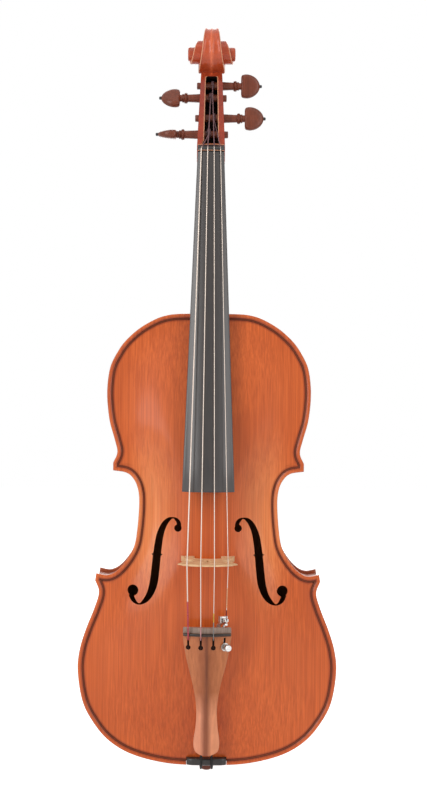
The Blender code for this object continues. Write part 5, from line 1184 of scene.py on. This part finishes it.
def tailpiece_material():
    """Polished boxwood with painted sheen, paler towards both sides, and a painted dark reflection down its middle,
    which narrows towards the lower end, and greyed by the strings' rosin dust in front of the fret."""
    made, tree, shader = plain_material("pale_boxwood", (0.46, 0.18, 0.07), 0.34)
    grain = stretched_noise(tree, (420, 420, 14))
    fine = ramp(tree, grain, (0.3, (0.43, 0.142, 0.050)), (0.7, (0.57, 0.205, 0.080)))
    where = tree.nodes.new("ShaderNodeTexCoord")
    axes = tree.nodes.new("ShaderNodeSeparateXYZ")
    across = tree.nodes.new("ShaderNodeMapRange")
    across.inputs["From Min"].default_value = -SHEEN_REACH * MM
    across.inputs["From Max"].default_value = SHEEN_REACH * MM
    tree.links.new(where.outputs["Object"], axes.inputs["Vector"])
    tree.links.new(axes.outputs["X"], across.inputs["Value"])
    # Painted sheen: paler towards the sides, with a painted dark reflection down the middle
    heart = ramp(
        tree, across.outputs["Result"], (0.0, (1.15, 1.08, 1.08)), (0.38, (0.70, 0.56, 0.50)),
        (0.5, (0.36, 0.25, 0.18)), (0.60, (0.72, 0.58, 0.44)), (1.0, (1.12, 1.02, 0.92)),
    )
    # The same painted sheen and dark reflection, narrower, on the lower end
    lower_sheen = ramp(
        tree, across.outputs["Result"], (0.0, (0.95, 0.40, 0.23)), (0.26, (0.92, 0.37, 0.21)),
        (0.42, (0.34, 0.10, 0.042)), (0.52, (0.32, 0.09, 0.038)), (0.68, (0.90, 0.36, 0.18)), (1.0, (0.92, 0.37, 0.19)),
    )
    clean = ramp(tree, grain, (0.3, (0.84, 0.80, 0.78)), (0.7, (1.0, 1.0, 1.0)))
    lower = tree.nodes.new("ShaderNodeMapRange")
    lower.inputs["From Min"].default_value = (ORIGIN_U - TAILPIECE_START - SHEEN_NARROWS[0]) * MM
    lower.inputs["From Max"].default_value = (ORIGIN_U - TAILPIECE_START - SHEEN_NARROWS[1]) * MM
    tree.links.new(axes.outputs["Z"], lower.inputs["Value"])
    body = mixed(tree, lower.outputs["Result"], multiplied(tree, fine, heart), multiplied(tree, clean, lower_sheen))
    greyed = tree.nodes.new("ShaderNodeMapRange")
    fret_z = (ORIGIN_U - TAILPIECE_START - FRET_AT) * MM
    greyed.inputs["From Min"].default_value = fret_z - DUST_EDGE * MM
    greyed.inputs["From Max"].default_value = fret_z + DUST_EDGE * MM
    tree.links.new(axes.outputs["Z"], greyed.inputs["Value"])
    dust = ramp(tree, grain, (0.3, (0.22, 0.145, 0.11)), (0.7, (0.40, 0.28, 0.22)))
    colour = mixed(tree, greyed.outputs["Result"], body, dust)
    tree.links.new(colour, shader.inputs["Base Color"])
    soft_edges(tree, shader, 0.0004, bumped(tree, shader, grain, 0.08, 0.0002))
    varnished(shader, 0.35, 0.2)
    return made


def metal_material(name, colour, roughness):
    made, tree, shader = plain_material(name, colour, roughness, 1.0)
    scratches = stretched_noise(tree, (2500, 2500, 300))
    bump = bumped(tree, shader, scratches, 0.08, 0.00005)
    soft_edges(tree, shader, 0.0002, bump)
    return made


def thread_material(name, colour):
    """Coloured silk wound round the end of a string."""
    made, tree, shader = plain_material(name, colour, 0.7)
    turns = stretched_noise(tree, (300, 300, 3500), 1.0)
    dark = tuple(0.6 * c for c in colour)
    tree.links.new(ramp(tree, turns, (0.35, dark), (0.6, colour)), shader.inputs["Base Color"])
    return made


def flat_material(name, colour, roughness=0.6):
    made, tree, shader = plain_material(name, colour, roughness)
    wear_and_glow = stretched_noise(tree, (300, 300, 60))
    dark = tuple(0.7 * c for c in colour)
    tree.links.new(ramp(tree, wear_and_glow, (0.3, dark), (0.7, colour)), shader.inputs["Base Color"])
    return made


MATERIALS = {
    "varnished_spruce": spruce_material(),
    "varnished_maple": maple_material("varnished_maple", (0.46, 0.068, 0.019), (0.63, 0.104, 0.031), False),
    # The head's last colour is a painted highlight along its spine; its pegbox takes painted shade
    "head_maple": maple_material("head_maple", (0.50, 0.072, 0.019), (0.70, 0.112, 0.030), False, (0.92, 0.20, 0.070)),
    "flamed_maple": maple_material("flamed_maple", (0.30, 0.055, 0.016), (0.56, 0.135, 0.042), True),
    "bare_spruce": wood_material("bare_spruce", (0.40, 0.24, 0.11), (0.56, 0.38, 0.20), 0.7, 0.0),
    "bare_maple": wood_material(
        "bare_maple", (0.72, 0.43, 0.22), (0.93, 0.63, 0.35), 0.5, 0.1, 0.0003, (160, 160, 900)
    ),
    # Painted highlight on the chamfered edges of the head and on the nut's edges
    "edge_highlight": maple_material("edge_highlight", (0.80, 0.33, 0.17), (0.93, 0.47, 0.27), False),
    "boxwood": wood_material("boxwood", (0.140, 0.031, 0.013), (0.225, 0.053, 0.024), 0.35, 0.22),
    "pale_boxwood": tailpiece_material(),
    "dark_boxwood": wood_material("dark_boxwood", (0.020, 0.012, 0.009), (0.045, 0.028, 0.020), 0.35, 0.3),
    "inside_maple": wood_material("inside_maple", (0.20, 0.075, 0.03), (0.28, 0.11, 0.045), 0.7, 0.0),
    "ebony": wood_material("ebony", (0.020, 0.019, 0.018), (0.040, 0.037, 0.035), 0.3, 0.4),
    "board_ebony": wood_material("board_ebony", (0.012, 0.008, 0.007), (0.026, 0.017, 0.014), 0.36, 1.0),
    "steel": metal_material("steel", (0.60, 0.59, 0.57), 0.28),
    "string_steel": metal_material("string_steel", (0.60, 0.51, 0.44), 0.38),
    "cord": flat_material("cord", (0.02, 0.02, 0.02), 0.55),
    "purfling_dark": flat_material("purfling_dark", (0.095, 0.019, 0.006), 0.55),
    "purfling_pale": flat_material("purfling_pale", (0.26, 0.055, 0.016), 0.55),
    "hole_edge": flat_material("hole_edge", (0.16, 0.035, 0.014), 0.6),
    # Near black for the knots, and as painted shade on the walls of the cavity, peg holes and keyholes
    "dark_cavity": flat_material("dark_cavity", (0.035, 0.014, 0.009), 0.75),
    "silk_c": thread_material("silk_c", (0.62, 0.10, 0.13)),
    "silk_g": thread_material("silk_g", (0.72, 0.36, 0.36)),
    "silk_d": thread_material("silk_d", (0.75, 0.50, 0.10)),
    "silk_d_end": thread_material("silk_d_end", (0.30, 0.29, 0.28)),
    "silk_a_top": thread_material("silk_a_top", (0.90, 0.52, 0.30)),
    "silk_a": thread_material("silk_a", (0.14, 0.02, 0.025)),
    "silk_peg": thread_material("silk_peg", (0.24, 0.13, 0.14)),
}
varnished(MATERIALS["board_ebony"].node_tree.nodes["Principled BSDF"], 0.85, 0.29, 1.6)
PLATE_SLOTS = {
    "belly": [MATERIALS[key] for key in ("varnished_spruce", "purfling_dark", "purfling_pale", "bare_spruce")],
    "back": [MATERIALS[key] for key in ("flamed_maple", "purfling_dark", "purfling_pale", "inside_maple")],
}


def dress_nodes():
    """Gives each node of the frame the material of its slot, and smooth faces with sharp edges."""
    for row in frame["record"]["subparts"]:
        node = NODES[row["node"]]
        node.data.materials.clear()
        node.data.materials.append(MATERIALS[row["material_slot"]])
        weld = node.modifiers.new("weld", "WELD")
        weld.merge_threshold = 1e-6
        split = node.modifiers.new("edges", "EDGE_SPLIT")
        split.split_angle = math.radians(35)
        node.data.shade_smooth()
    for name in NODES:
        if "_rib_" in name:
            NODES[name].data.materials[0] = MATERIALS["flamed_maple"]


# Fittings


def bridge_top(x):
    return BRIDGE_HEIGHT - BRIDGE_ARCH_RADIUS + math.sqrt(BRIDGE_ARCH_RADIUS**2 - x**2)


def belly_at(x, u):
    return float(plate_heights(np.array([(x, u)]), BELLY_ARCH)[0])


def bridge_outline():
    """The bridge seen along the strings: arched top, waist, two feet on the belly and the arch between."""
    heel, toe = BRIDGE_FOOT_REACH, BRIDGE_FOOT_REACH - BRIDGE_FOOT_LENGTH

    def seat(x):
        return max(belly_at(x, BODY_STOP), belly_at(x, BODY_STOP + BRIDGE_FOOT_THICKNESS)) + FIT / 2

    crown = [(x, bridge_top(x)) for x in np.linspace(0, BRIDGE_CROWN_REACH, 24)]
    drop = bridge_top(BRIDGE_CROWN_REACH) - BRIDGE_CROWN_DROP
    rows = [(BRIDGE_SIDE[0][0], drop), *BRIDGE_SIDE[1:]]
    side = [tuple(p) for p in smooth_curve([(BRIDGE_CROWN_REACH, bridge_top(BRIDGE_CROWN_REACH)), *rows], 110)[1:]]
    ankle_out = [(BRIDGE_FOOT_REACH - BRIDGE_ANKLE, seat(heel) + BRIDGE_FOOT_HEIGHT + BRIDGE_ANKLE)]
    ankle_out.append((heel - 0.3, seat(heel) + BRIDGE_FOOT_HEIGHT))
    sole = [(x, seat(x)) for x in np.linspace(heel, toe, 14)]
    ankle_in = [(toe + 0.3, seat(toe) + BRIDGE_FOOT_HEIGHT)]
    ankle_in.append((toe + BRIDGE_ANKLE, seat(toe) + BRIDGE_FOOT_HEIGHT + BRIDGE_ANKLE))
    arch = [tuple(p) for p in smooth_curve([ankle_in[-1], *BRIDGE_ARCHWAY], 30)[1:]]
    half = [*crown, *side, *ankle_out, *sole, *ankle_in, *arch]
    return half + mirrored(half[-2:0:-1])


def bridge_thickness(x, h):
    """The bridge thins towards its crown, and towards the tips of its wings."""
    share = min(1.0, max(0.0, (h - BRIDGE_THICK_UP_TO) / (BRIDGE_HEIGHT - BRIDGE_THICK_UP_TO)))
    thick = BRIDGE_FOOT_THICKNESS + (BRIDGE_TOP_THICKNESS - BRIDGE_FOOT_THICKNESS) * share
    if h < BRIDGE_WINGS_ABOVE:
        return thick
    return float(np.interp(abs(x), BRIDGE_WINGS, (thick, BRIDGE_WING_THICKNESS)))


def add_bridge():
    rear = BODY_STOP + BRIDGE_FOOT_THICKNESS
    outline = bridge_outline()
    skin = Skin()
    skin.loft([[(x, rear - bridge_thickness(x, h), h) for x, h in outline], [(x, rear, h) for x, h in outline]])
    bridge = show("bridge_carved", skin, [MATERIALS["bare_maple"]], "viola_body", "bridge")
    right = [tuple(p) for p in smooth_curve(BRIDGE_HEART, 40)]
    heart = right + mirrored(right[-2:0:-1])
    tool = Skin()
    tool.loft([[(x, u, h) for x, h in heart] for u in (BODY_STOP - CUT_OVERRUN, rear + CUT_OVERRUN)])
    cut_away(bridge, "heart", tool, MATERIALS["bare_maple"])


def tailpiece_half_width(u):
    return float(smooth_value(TAILPIECE_WIDTHS, (u - TAILPIECE_START) / TAILPIECE_LENGTH)) / 2


def tailpiece_top(x, u):
    half = tailpiece_half_width(u)
    share = (u - TAILPIECE_START) / TAILPIECE_LENGTH
    crest = TAILPIECE_FRONT + (TAILPIECE_BACK - TAILPIECE_FRONT) * share
    crown = TAILPIECE_CROWN * min(1.0, 2 * half / TAILPIECE_WIDTHS[0][1])
    return crest - crown * min(1.0, abs(x) / half) ** 1.5


def tailpiece_under(x, u):
    half = tailpiece_half_width(u)
    low = max(tailpiece_top(half, u) - TAILPIECE_EDGE, tailpiece_top(x, u) - TAILPIECE_THICKNESS)
    return low - TAILPIECE_HOLLOW * (1 - abs(x) / half)


def tuner_point(p, u, q):
    """The tuner leans outward with the crowned face that it is clamped to."""
    lean = math.radians(TUNER_LEAN)
    foot = tailpiece_top(TUNER_OFFSET, TUNER_HOLE_U)
    x = TUNER_OFFSET + p * math.cos(lean) + q * math.sin(lean)
    return x, u, foot - p * math.sin(lean) + q * math.cos(lean)


def add_tailpiece():
    """Crowned above and hollowed below, with a broken edge, three keyholes and the tuner's hole."""
    skin = Skin()
    sections = []
    ends = [(0.0, 0.5), (0.003, 0.15), (0.008, 0.0)]
    middle = [(share, 0.0) for share in np.linspace(0.03, 0.96, 40)]
    tip = [(share, 0.0) for share in (0.972, 0.983, 0.99, 0.996, 1.0)]
    for share, tuck in [*ends, *middle, *tip]:
        u = TAILPIECE_START + TAILPIECE_LENGTH * share
        half = tailpiece_half_width(u) * (1 - tuck / 20)
        over = [(x, u, tailpiece_top(x, u) - tuck) for x in np.linspace(half - 0.5, 0.5 - half, 41)]
        rim = (half, u, tailpiece_top(half, u) - 0.5 - 0.5 * tuck)
        under = [(x, u, tailpiece_under(x, u)) for x in np.linspace(0.2 - half, half - 0.2, 21)]
        sections.append([rim, *over, (-rim[0], *rim[1:]), *under])
    skin.loft(sections)
    piece = show("tailpiece_body", skin, [MATERIALS["pale_boxwood"]], "viola_body", "tailpiece")
    start, end = TAILPIECE_START + KEYHOLE_START, TAILPIECE_START + KEYHOLE_END
    tools = Skin()
    for index in range(3):
        x = TAIL_SPACING * (index / 3 - 0.5)
        begin = math.asin(KEYHOLE_SLIT / KEYHOLE_RADIUS)
        angles = np.linspace(begin - math.pi / 2, 1.5 * math.pi - begin, 40)
        ring = [(x + KEYHOLE_RADIUS * math.cos(a), end + KEYHOLE_RADIUS * math.sin(a)) for a in angles]
        outline = [(x - KEYHOLE_SLIT, start), (x + KEYHOLE_SLIT, start), *ring]
        tools.loft([[(px, pu, h) for px, pu in outline] for h in (0.0, TAILPIECE_FRONT + CUT_OVERRUN)])
    reach = TAILPIECE_FRONT / 2
    begin = math.asin(KEYHOLE_SLIT / TUNER_HOLE_RADIUS)
    angles = np.linspace(begin - math.pi / 2, 1.5 * math.pi - begin, 40)
    ring = [(TUNER_HOLE_RADIUS * math.cos(a), TUNER_HOLE_U + TUNER_HOLE_RADIUS * math.sin(a)) for a in angles]
    outline = [(-KEYHOLE_SLIT, start), (KEYHOLE_SLIT, start), *ring]
    tools.loft([[tuner_point(p, u, q) for p, u in outline] for q in (-reach, reach)])
    # Painted shade: the keyholes' walls are near black
    cut_away(piece, "keyholes", tools, MATERIALS["dark_cavity"])


def add_fret():
    start = TAILPIECE_START + FRET_AT
    half = tailpiece_half_width(start) - 0.4
    skin = Skin()
    sections = []
    for x in np.linspace(half, -half, 41):
        low = tailpiece_top(x, start) + 0.02
        top = low + FRET_HEIGHT + FIT - 0.02
        bend = [
            (x, start + FRET_LENGTH / 2 * (1 - math.cos(a)), top - 0.9 * (1 - math.sin(a)))
            for a in np.linspace(0, math.pi, 9)
        ]
        sections.append([(x, start, low), *bend, (x, start + FRET_LENGTH, low)])
    skin.loft(sections)
    show("fret", skin, [MATERIALS["dark_boxwood"]], "viola_body", "tailpiece_fret")


def add_nut():
    start, end = -NECK_STOP - FIT, NUT_END + FIT - NUT_OVERHANG
    half = NUT_WIDTH / 2
    sections = []
    for share, drop in NUT_BACK:
        u = start + (end - start) * share
        low = min(glue_plane(u) - PEGBOX_FRONT_BELOW, pegbox_front(u))
        lift = NUT_STRING_HEIGHT - STRING_GAP - drop - NECK_SLOPE * (start - u)
        crown = [(x, u, fingerboard_top(x, -NECK_STOP) + lift) for x in np.linspace(half - 0.4, 0.4 - half, 31)]
        rim = (half, u, max(low + 0.1, crown[0][2] - 0.4))
        sections.append([(half, u, low), rim, *crown, (-half, *rim[1:]), (-half, u, low)])
    skin = Skin()
    skin.loft(sections)
    # The nut's first and last bands take slot 1, a painted highlight along its edges
    ring = len(sections[0])
    for edge in (0, len(sections) - 2):
        skin.slots[edge * ring:(edge + 1) * ring] = [1] * ring
    show("nut_shaped", skin, [MATERIALS["ebony"], MATERIALS["edge_highlight"]], "viola_body", "nut")


def add_saddle():
    half = SADDLE_WIDTH / 2
    end = SADDLE_START + SADDLE_LENGTH
    rows = [(half - inward, drop) for inward, drop in SADDLE_ENDS]
    bends = np.linspace(0, math.pi / 2, 8)
    sections = []
    for x, drop in [*rows, (0.0, 0.0), *mirrored(rows[::-1])]:
        top = SADDLE_HEIGHT - drop
        front = [
            (x, SADDLE_START + SADDLE_ROUND * (1 - math.cos(a)), top - SADDLE_ROUND * (1 - math.sin(a))) for a in bends
        ]
        rear = [
            (x, end - SADDLE_ROUND * (1 - math.sin(a)), top - SADDLE_ROUND * (1 - math.cos(a))) for a in bends
        ]
        sections.append([(x, SADDLE_START, FIT), *front, *rear, (x, end, FIT)])
    skin = Skin()
    skin.loft(sections)
    show("saddle_shaped", skin, [MATERIALS["ebony"]], "viola_body", "saddle")


def add_tailgut_ends():
    """Where the cord turns up into the tailpiece's under face."""
    end = TAILPIECE_START + TAILPIECE_LENGTH - TAILGUT_GRIP
    low = TAILPIECE_BACK - TAILGUT_DEPTH
    bend = [(end + 1.5, low), (end, low), (end - 1.3, low + 0.5), (end - 2.0, low + 1.8), (end - 2.2, low + 6.0)]
    skin = Skin()
    for x in (-TAILGUT_SPREAD, TAILGUT_SPREAD):
        skin.tube([(x, u, h) for u, h in bend], TAILGUT_RADIUS)
    show("tailgut_ends", skin, [MATERIALS["cord"]], "viola_body")


def add_tuner_knob():
    """The tuner's knurled head."""
    lean = math.radians(TUNER_LEAN)
    across = np.array((math.cos(lean), 0, -math.sin(lean)))
    out = np.array((math.sin(lean), 0, math.cos(lean)))
    home = np.array(tuner_point(0, TUNER_HOLE_U, 0))
    bevel = KNOB_RADIUS - KNOB_BEVEL
    end = KNOB_Q + KNOB_LENGTH
    profile = [(KNOB_Q, bevel, 0), (KNOB_Q + KNOB_BEVEL, KNOB_RADIUS, 1), (end - KNOB_BEVEL, KNOB_RADIUS, 1)]
    profile += [(end - 0.2, bevel + 0.2, 0), (end, bevel, 0), (end, 0.5 * bevel, 0), (end - 0.3, 0.45 * bevel, 0)]
    skin = Skin()
    sections = []
    for q, radius, ridged in profile:
        section = []
        for a in np.linspace(0, 2 * math.pi, 4 * KNOB_RIDGES, endpoint=False):
            r = radius - ridged * KNOB_RIDGE_DEPTH * (0.5 - 0.5 * math.cos(KNOB_RIDGES * a))
            section.append(home + out * q + across * (r * math.cos(a)) + np.array((0, r * math.sin(a), 0)))
        sections.append(section)
    skin.loft(sections)
    show("tuner_knurled_knob", skin, [MATERIALS["steel"]], "tuner_knob", "tuner_knob")


def add_end_button():
    neck = 0.3 + END_BUTTON_NECK_LENGTH
    head = END_BUTTON_OUT - neck
    shares = ((0.06, 0.80), (0.25, 0.93), (0.45, 1.0), (0.62, 0.985), (0.75, 0.94), (0.85, 0.84), (0.92, 0.72))
    profile = [(-0.3, 3.9), (0.4, 4.5), (0.9, END_BUTTON_NECK + 0.4), (1.6, END_BUTTON_NECK), (neck, END_BUTTON_NECK)]
    profile += [(neck + a * head, b * END_BUTTON_RADIUS * 0.985) for a, b in shares]
    profile += [(END_BUTTON_OUT - 0.2, END_BUTTON_FLAT + 0.5), (END_BUTTON_OUT, END_BUTTON_FLAT), (END_BUTTON_OUT, 0.3)]
    skin = Skin()
    skin.turned(profile, (0, BODY_LENGTH - RIB_INSET, -RIB_HEIGHT / 2), (0, 1, 0), 64)
    show("button", skin, [MATERIALS["boxwood"]], "viola_body", "end_button")


# Pegs and strings


def peg_skin(axis, side, half, length, turn):
    """A turned shaft with its grooved ring and bead, and the thumb piece with hollowed faces."""
    head = half + length
    bead = head - PEG_NECK_LENGTH - PEG_BEAD_LENGTH
    ring = bead - PEG_RING_LENGTH
    tip = -half - PEG_TIP_OUT
    skin = Skin()
    profile = [(tip, 0.4), (tip, PEG_TIP_RADIUS - 0.6), (tip + 0.2, PEG_TIP_RADIUS - 0.2), (tip + 0.6, PEG_TIP_RADIUS)]
    profile += [(-half, PEG_TIP_RADIUS), (half, PEG_RADIUS), (ring - 0.4, PEG_WAIST_RADIUS)]
    for k in range(25):
        t = k / 24
        swell = math.sin(math.pi * t) ** 0.35
        groove = PEG_GROOVE * (1 if abs(t - 0.3) < 0.045 or abs(t - 0.7) < 0.045 else 0)
        radius = PEG_WAIST_RADIUS + (PEG_RING_RADIUS - PEG_WAIST_RADIUS) * swell - groove
        profile.append((ring + t * PEG_RING_LENGTH, radius))
    for t in np.linspace(0.1, 1, 9):
        swell = math.sin(math.pi * t) ** 0.7 if t < 1 else 0.0
        profile.append((bead + t * PEG_BEAD_LENGTH, PEG_NECK_RADIUS + (PEG_BEAD_RADIUS - PEG_NECK_RADIUS) * swell))
    profile.append((head + PEG_NECK_LENGTH, PEG_NECK_RADIUS))
    skin.turned(profile, axis, (side, 0, 0), 48)

    angle = math.radians(turn)
    sections = []
    shares = np.unique(np.concatenate([np.linspace(0, 0.06, 4), np.linspace(0.08, 0.9, 16), np.linspace(0.92, 1, 6)]))
    for share in shares:
        width = float(smooth_value(PEG_HEAD_OUTLINE, share))
        reach = width * PEG_HEAD_WIDTH / 2
        thick = PEG_HEAD_THICKNESS / 2 * float(smooth_value(PEG_HEAD_THICKNESSES, share))
        section = []
        for a in np.linspace(0, 2 * math.pi, 48, endpoint=False):
            wide = reach * math.copysign(abs(math.cos(a)) ** 0.8, math.cos(a))
            deep = thick * math.copysign(abs(math.sin(a)) ** 0.8, math.sin(a))
            dish = math.sin(math.pi * min(1.0, 1.15 * share)) ** 0.6 if share * 1.15 < 1 else 0.0
            deep *= 1 - PEG_HEAD_DISH * dish * max(0.0, 1 - (abs(wide) / (0.85 * reach)) ** 2)
            u = axis[1] + wide * math.cos(angle) - deep * math.sin(angle)
            h = axis[2] + wide * math.sin(angle) + deep * math.cos(angle)
            section.append((side * (head + share * PEG_HEAD_LENGTH), u, h))
        sections.append(section)
    skin.loft(sections)
    return skin


def add_pegs():
    for name, side, turn, length in PEGS:
        axis = peg_axis(name)
        half = cheek_half_width(axis[1])
        skin = peg_skin(axis, side, half, length, turn)
        show(f"peg_{name}_turned", skin, [MATERIALS["boxwood"]], f"peg_{name}", f"peg_{name}")
        start = half + length + PEG_HEAD_LENGTH
        pip = Skin()
        inner = PIP_RADIUS - PIP_ROUND
        bend = [
            (start + PIP_LENGTH - PIP_ROUND * (1 - math.sin(a)), inner + PIP_ROUND * math.cos(a))
            for a in np.linspace(0, math.pi / 2, 7)
        ]
        pip.turned([(start - 0.4, inner), (start, PIP_RADIUS), *bend], axis, (side, 0, 0), 32)
        show(f"pip_{name}", pip, [MATERIALS["ebony"]], f"peg_{name}", f"peg_pip_{name}")


def string_places(index):
    """The string's turning points: over the nut, over the bridge, over the tailpiece's fret or at the
    tuner's fork, and where it dives behind the fret."""
    name, radius = STRINGS[index]
    nut_x, bridge_x, tail_x = (
        spacing * (index / 3 - 0.5) for spacing in (NUT_SPACING, BRIDGE_SPACING, TAIL_SPACING)
    )
    nut = (nut_x, -NECK_STOP, fingerboard_top(nut_x, -NECK_STOP) + NUT_STRING_HEIGHT + radius)
    land = (nut_x, -NECK_STOP - NUT_LAND, nut[2] - NECK_SLOPE * NUT_LAND)
    bridge_u = BODY_STOP + BRIDGE_FOOT_THICKNESS - BRIDGE_TOP_THICKNESS / 2
    bridge = (bridge_x, bridge_u, bridge_top(bridge_x) + STRING_GAP + radius)
    if name == "a":
        return land, nut, bridge, [tuner_point(0, TAILPIECE_START - TUNER_HOOK_OUT, TUNER_HOOK_Q)]
    fret_u = TAILPIECE_START + FRET_AT + FRET_LENGTH / 2
    fret_h = tailpiece_top(tail_x, TAILPIECE_START + FRET_AT) + FIT + FRET_HEIGHT + STRING_GAP + radius
    dive = TAILPIECE_START + STRING_DIVE
    top = tailpiece_top(tail_x, dive)
    ends = [(tail_x, fret_u, fret_h), (tail_x, dive - 1.2, top + radius), (tail_x, dive, top - 1.5)]
    return land, nut, bridge, [*ends, (tail_x, dive + 0.4, top - TAILPIECE_THICKNESS)]


def between(start, end, u):
    """The point at u on the line from start to end."""
    share = (u - start[1]) / (end[1] - start[1])
    return tuple(a + (b - a) * share for a, b in zip(start, end))


def winding_skin(index, axis):
    """The string's turns round its peg, one beside the other."""
    radius = STRINGS[index][1]
    pitch = 2 * radius + WINDING_SLACK
    start = NUT_SPACING * (index / 3 - 0.5) * WINDING_SPREAD - (WINDING_TURNS - 1) * pitch / 2
    reach = PEG_RADIUS + FIT + radius
    route = []
    for t in np.linspace(0, WINDING_TURNS - 0.35, 28 * WINDING_TURNS):
        angle = math.pi / 2 + 2 * math.pi * t
        route.append((
            start + min(t, WINDING_TURNS - 1) * pitch, axis[1] + reach * math.cos(angle), axis[2] + reach * math.sin(angle)
        ))
    skin = Skin()
    skin.tube(route, radius, count=10)
    return skin


def add_strings():
    """Each string from its turns on the peg to its end, with the silk on its two ends."""
    for index, (name, radius) in enumerate(STRINGS):
        axis = peg_axis(name)
        coil = winding_skin(index, axis)
        show(f"turns_{name}", coil, [MATERIALS["silk_peg"]], f"peg_{name}", f"winding_{name}")
        land, nut, bridge, ends = string_places(index)
        reach = PEG_RADIUS + FIT + 2 * radius
        lead = (land[0] * WINDING_SPREAD, axis[1] + 1.5, axis[2] + reach + radius + STRING_GAP)
        skin = Skin()
        middle = [between(nut, bridge, u) for u in np.linspace(-100, 200, 7)]
        skin.tube([lead, between(lead, land, land[1] - 1.5), land, nut, *middle, bridge, *ends], radius)
        for slot, (silk, start, end) in enumerate(SILKS[name], 1):
            line = [between(bridge, ends[0], u) for u in (start, min(end, ends[0][1] - 0.1))]
            if end > ends[0][1]:
                line += ends[:-1]
            skin.tube(line, radius + SILK_THICKNESS, slot)
        finishes = [MATERIALS["string_steel"], *(MATERIALS[silk] for silk, _, _ in SILKS[name]), MATERIALS["silk_peg"]]
        skin.tube([lead, between(lead, land, land[1] - 1.5)], radius + SILK_THICKNESS, len(finishes) - 1)
        if name != "a":
            end = ends[-1]
            knot = [(end[0], u, end[2]) for u in (end[1] - 1.0, end[1] - 0.4, end[1] + KNOT_LENGTH - 0.6, end[1] + KNOT_LENGTH)]
            finishes.append(MATERIALS["dark_cavity"])
            skin.tube(knot, KNOT_RADIUS, len(finishes) - 1)
        show(f"wound_string_{name}", skin, finishes, "viola_body", f"string_{name}")


# Camera, light and stage


def add_camera():
    data = bpy.data.cameras.new("camera")
    camera = bpy.data.objects.new("camera", data)
    bpy.context.scene.collection.objects.link(camera)
    camera.location = (CAMERA_X, BELLY_PLANE_Y - CAMERA_DISTANCE, CAMERA_Z)
    camera.rotation_euler = (math.pi / 2, 0, 0)
    camera.rotation_euler.rotate_axis("Z", CAMERA_ROLL)
    data.sensor_fit = "AUTO"
    data.sensor_width = SENSOR
    data.lens = SENSOR * CAMERA_DISTANCE / FRAME_HEIGHT_AT_BELLY
    bpy.context.scene.camera = camera


def area_light(name, where, target, size, power):
    data = bpy.data.lights.new(name, "AREA")
    data.shape = "RECTANGLE"
    data.size, data.size_y = size
    data.energy = power
    light = bpy.data.objects.new(name, data)
    light.location = where
    light.rotation_euler = (Vector(target) - Vector(where)).to_track_quat("-Z", "Y").to_euler()
    bpy.context.scene.collection.objects.link(light)


def add_lights():
    middle = (0, -0.05, -0.32)
    area_light("left_softbox", (-1.1, -1.3, 0.42), middle, (0.7, 2.0), 17)
    area_light("right_softbox", (1.2, -1.2, 0.42), middle, (0.7, 2.0), 10)
    area_light("top_softbox", (0, -0.7, 1.6), middle, (1.4, 0.8), 3)
    area_light("back_softbox", (0.3, 1.6, 0.4), middle, (1.6, 1.6), 14)
    world = bpy.data.worlds.new("studio")
    world.use_nodes = True
    tree = world.node_tree
    background = tree.nodes["Background"]
    background.inputs["Color"].default_value = (1, 1, 1, 1)
    tree.links.new(shown(tree, WORLD_LIGHT, WORLD_SHOWN), background.inputs["Strength"])
    bpy.context.scene.world = world


def shown(tree, lit, seen):
    """One strength for what a surface lights, another for what the camera, mirrors and glass see of it."""
    path = tree.nodes.new("ShaderNodeLightPath")
    either = path.outputs["Is Camera Ray"]
    for ray in ("Is Glossy Ray", "Is Transmission Ray"):
        largest = tree.nodes.new("ShaderNodeMath")
        largest.operation = "MAXIMUM"
        tree.links.new(either, largest.inputs[0])
        tree.links.new(path.outputs[ray], largest.inputs[1])
        either = largest.outputs[0]
    strength = tree.nodes.new("ShaderNodeMapRange")
    strength.inputs["To Min"].default_value = lit
    strength.inputs["To Max"].default_value = seen
    tree.links.new(either, strength.inputs["Value"])
    return strength.outputs["Result"]


def add_stage():
    """A white floor, which glows a little where it is seen, so that only the object's shadow shows."""
    mesh = bpy.data.meshes.new("floor")
    x, y = FLOOR_REACH
    mesh.from_pydata([(-x, -y, FLOOR_Z), (x, -y, FLOOR_Z), (x, y, FLOOR_Z), (-x, y, FLOOR_Z)], [], [(0, 1, 2, 3)])
    paper, tree, shader = plain_material("floor_paper", (0.9, 0.9, 0.9), 0.9)
    shader.inputs["Emission Color"].default_value = (1, 1, 1, 1)
    tree.links.new(shown(tree, 0.0, FLOOR_GLOW), shader.inputs["Emission Strength"])
    mesh.materials.append(paper)
    floor = bpy.data.objects.new("floor", mesh)
    bpy.context.scene.collection.objects.link(floor)


add_camera()
dress_nodes()
add_belly()
add_back()
add_neck()
add_fingerboard()
add_bridge()
add_tailpiece()
add_fret()
add_end_button()
add_nut()
add_saddle()
add_tailgut_ends()
add_tuner_knob()
add_pegs()
add_strings()
add_lights()
add_stage()
bpy.context.scene.view_settings.view_transform = "Standard"
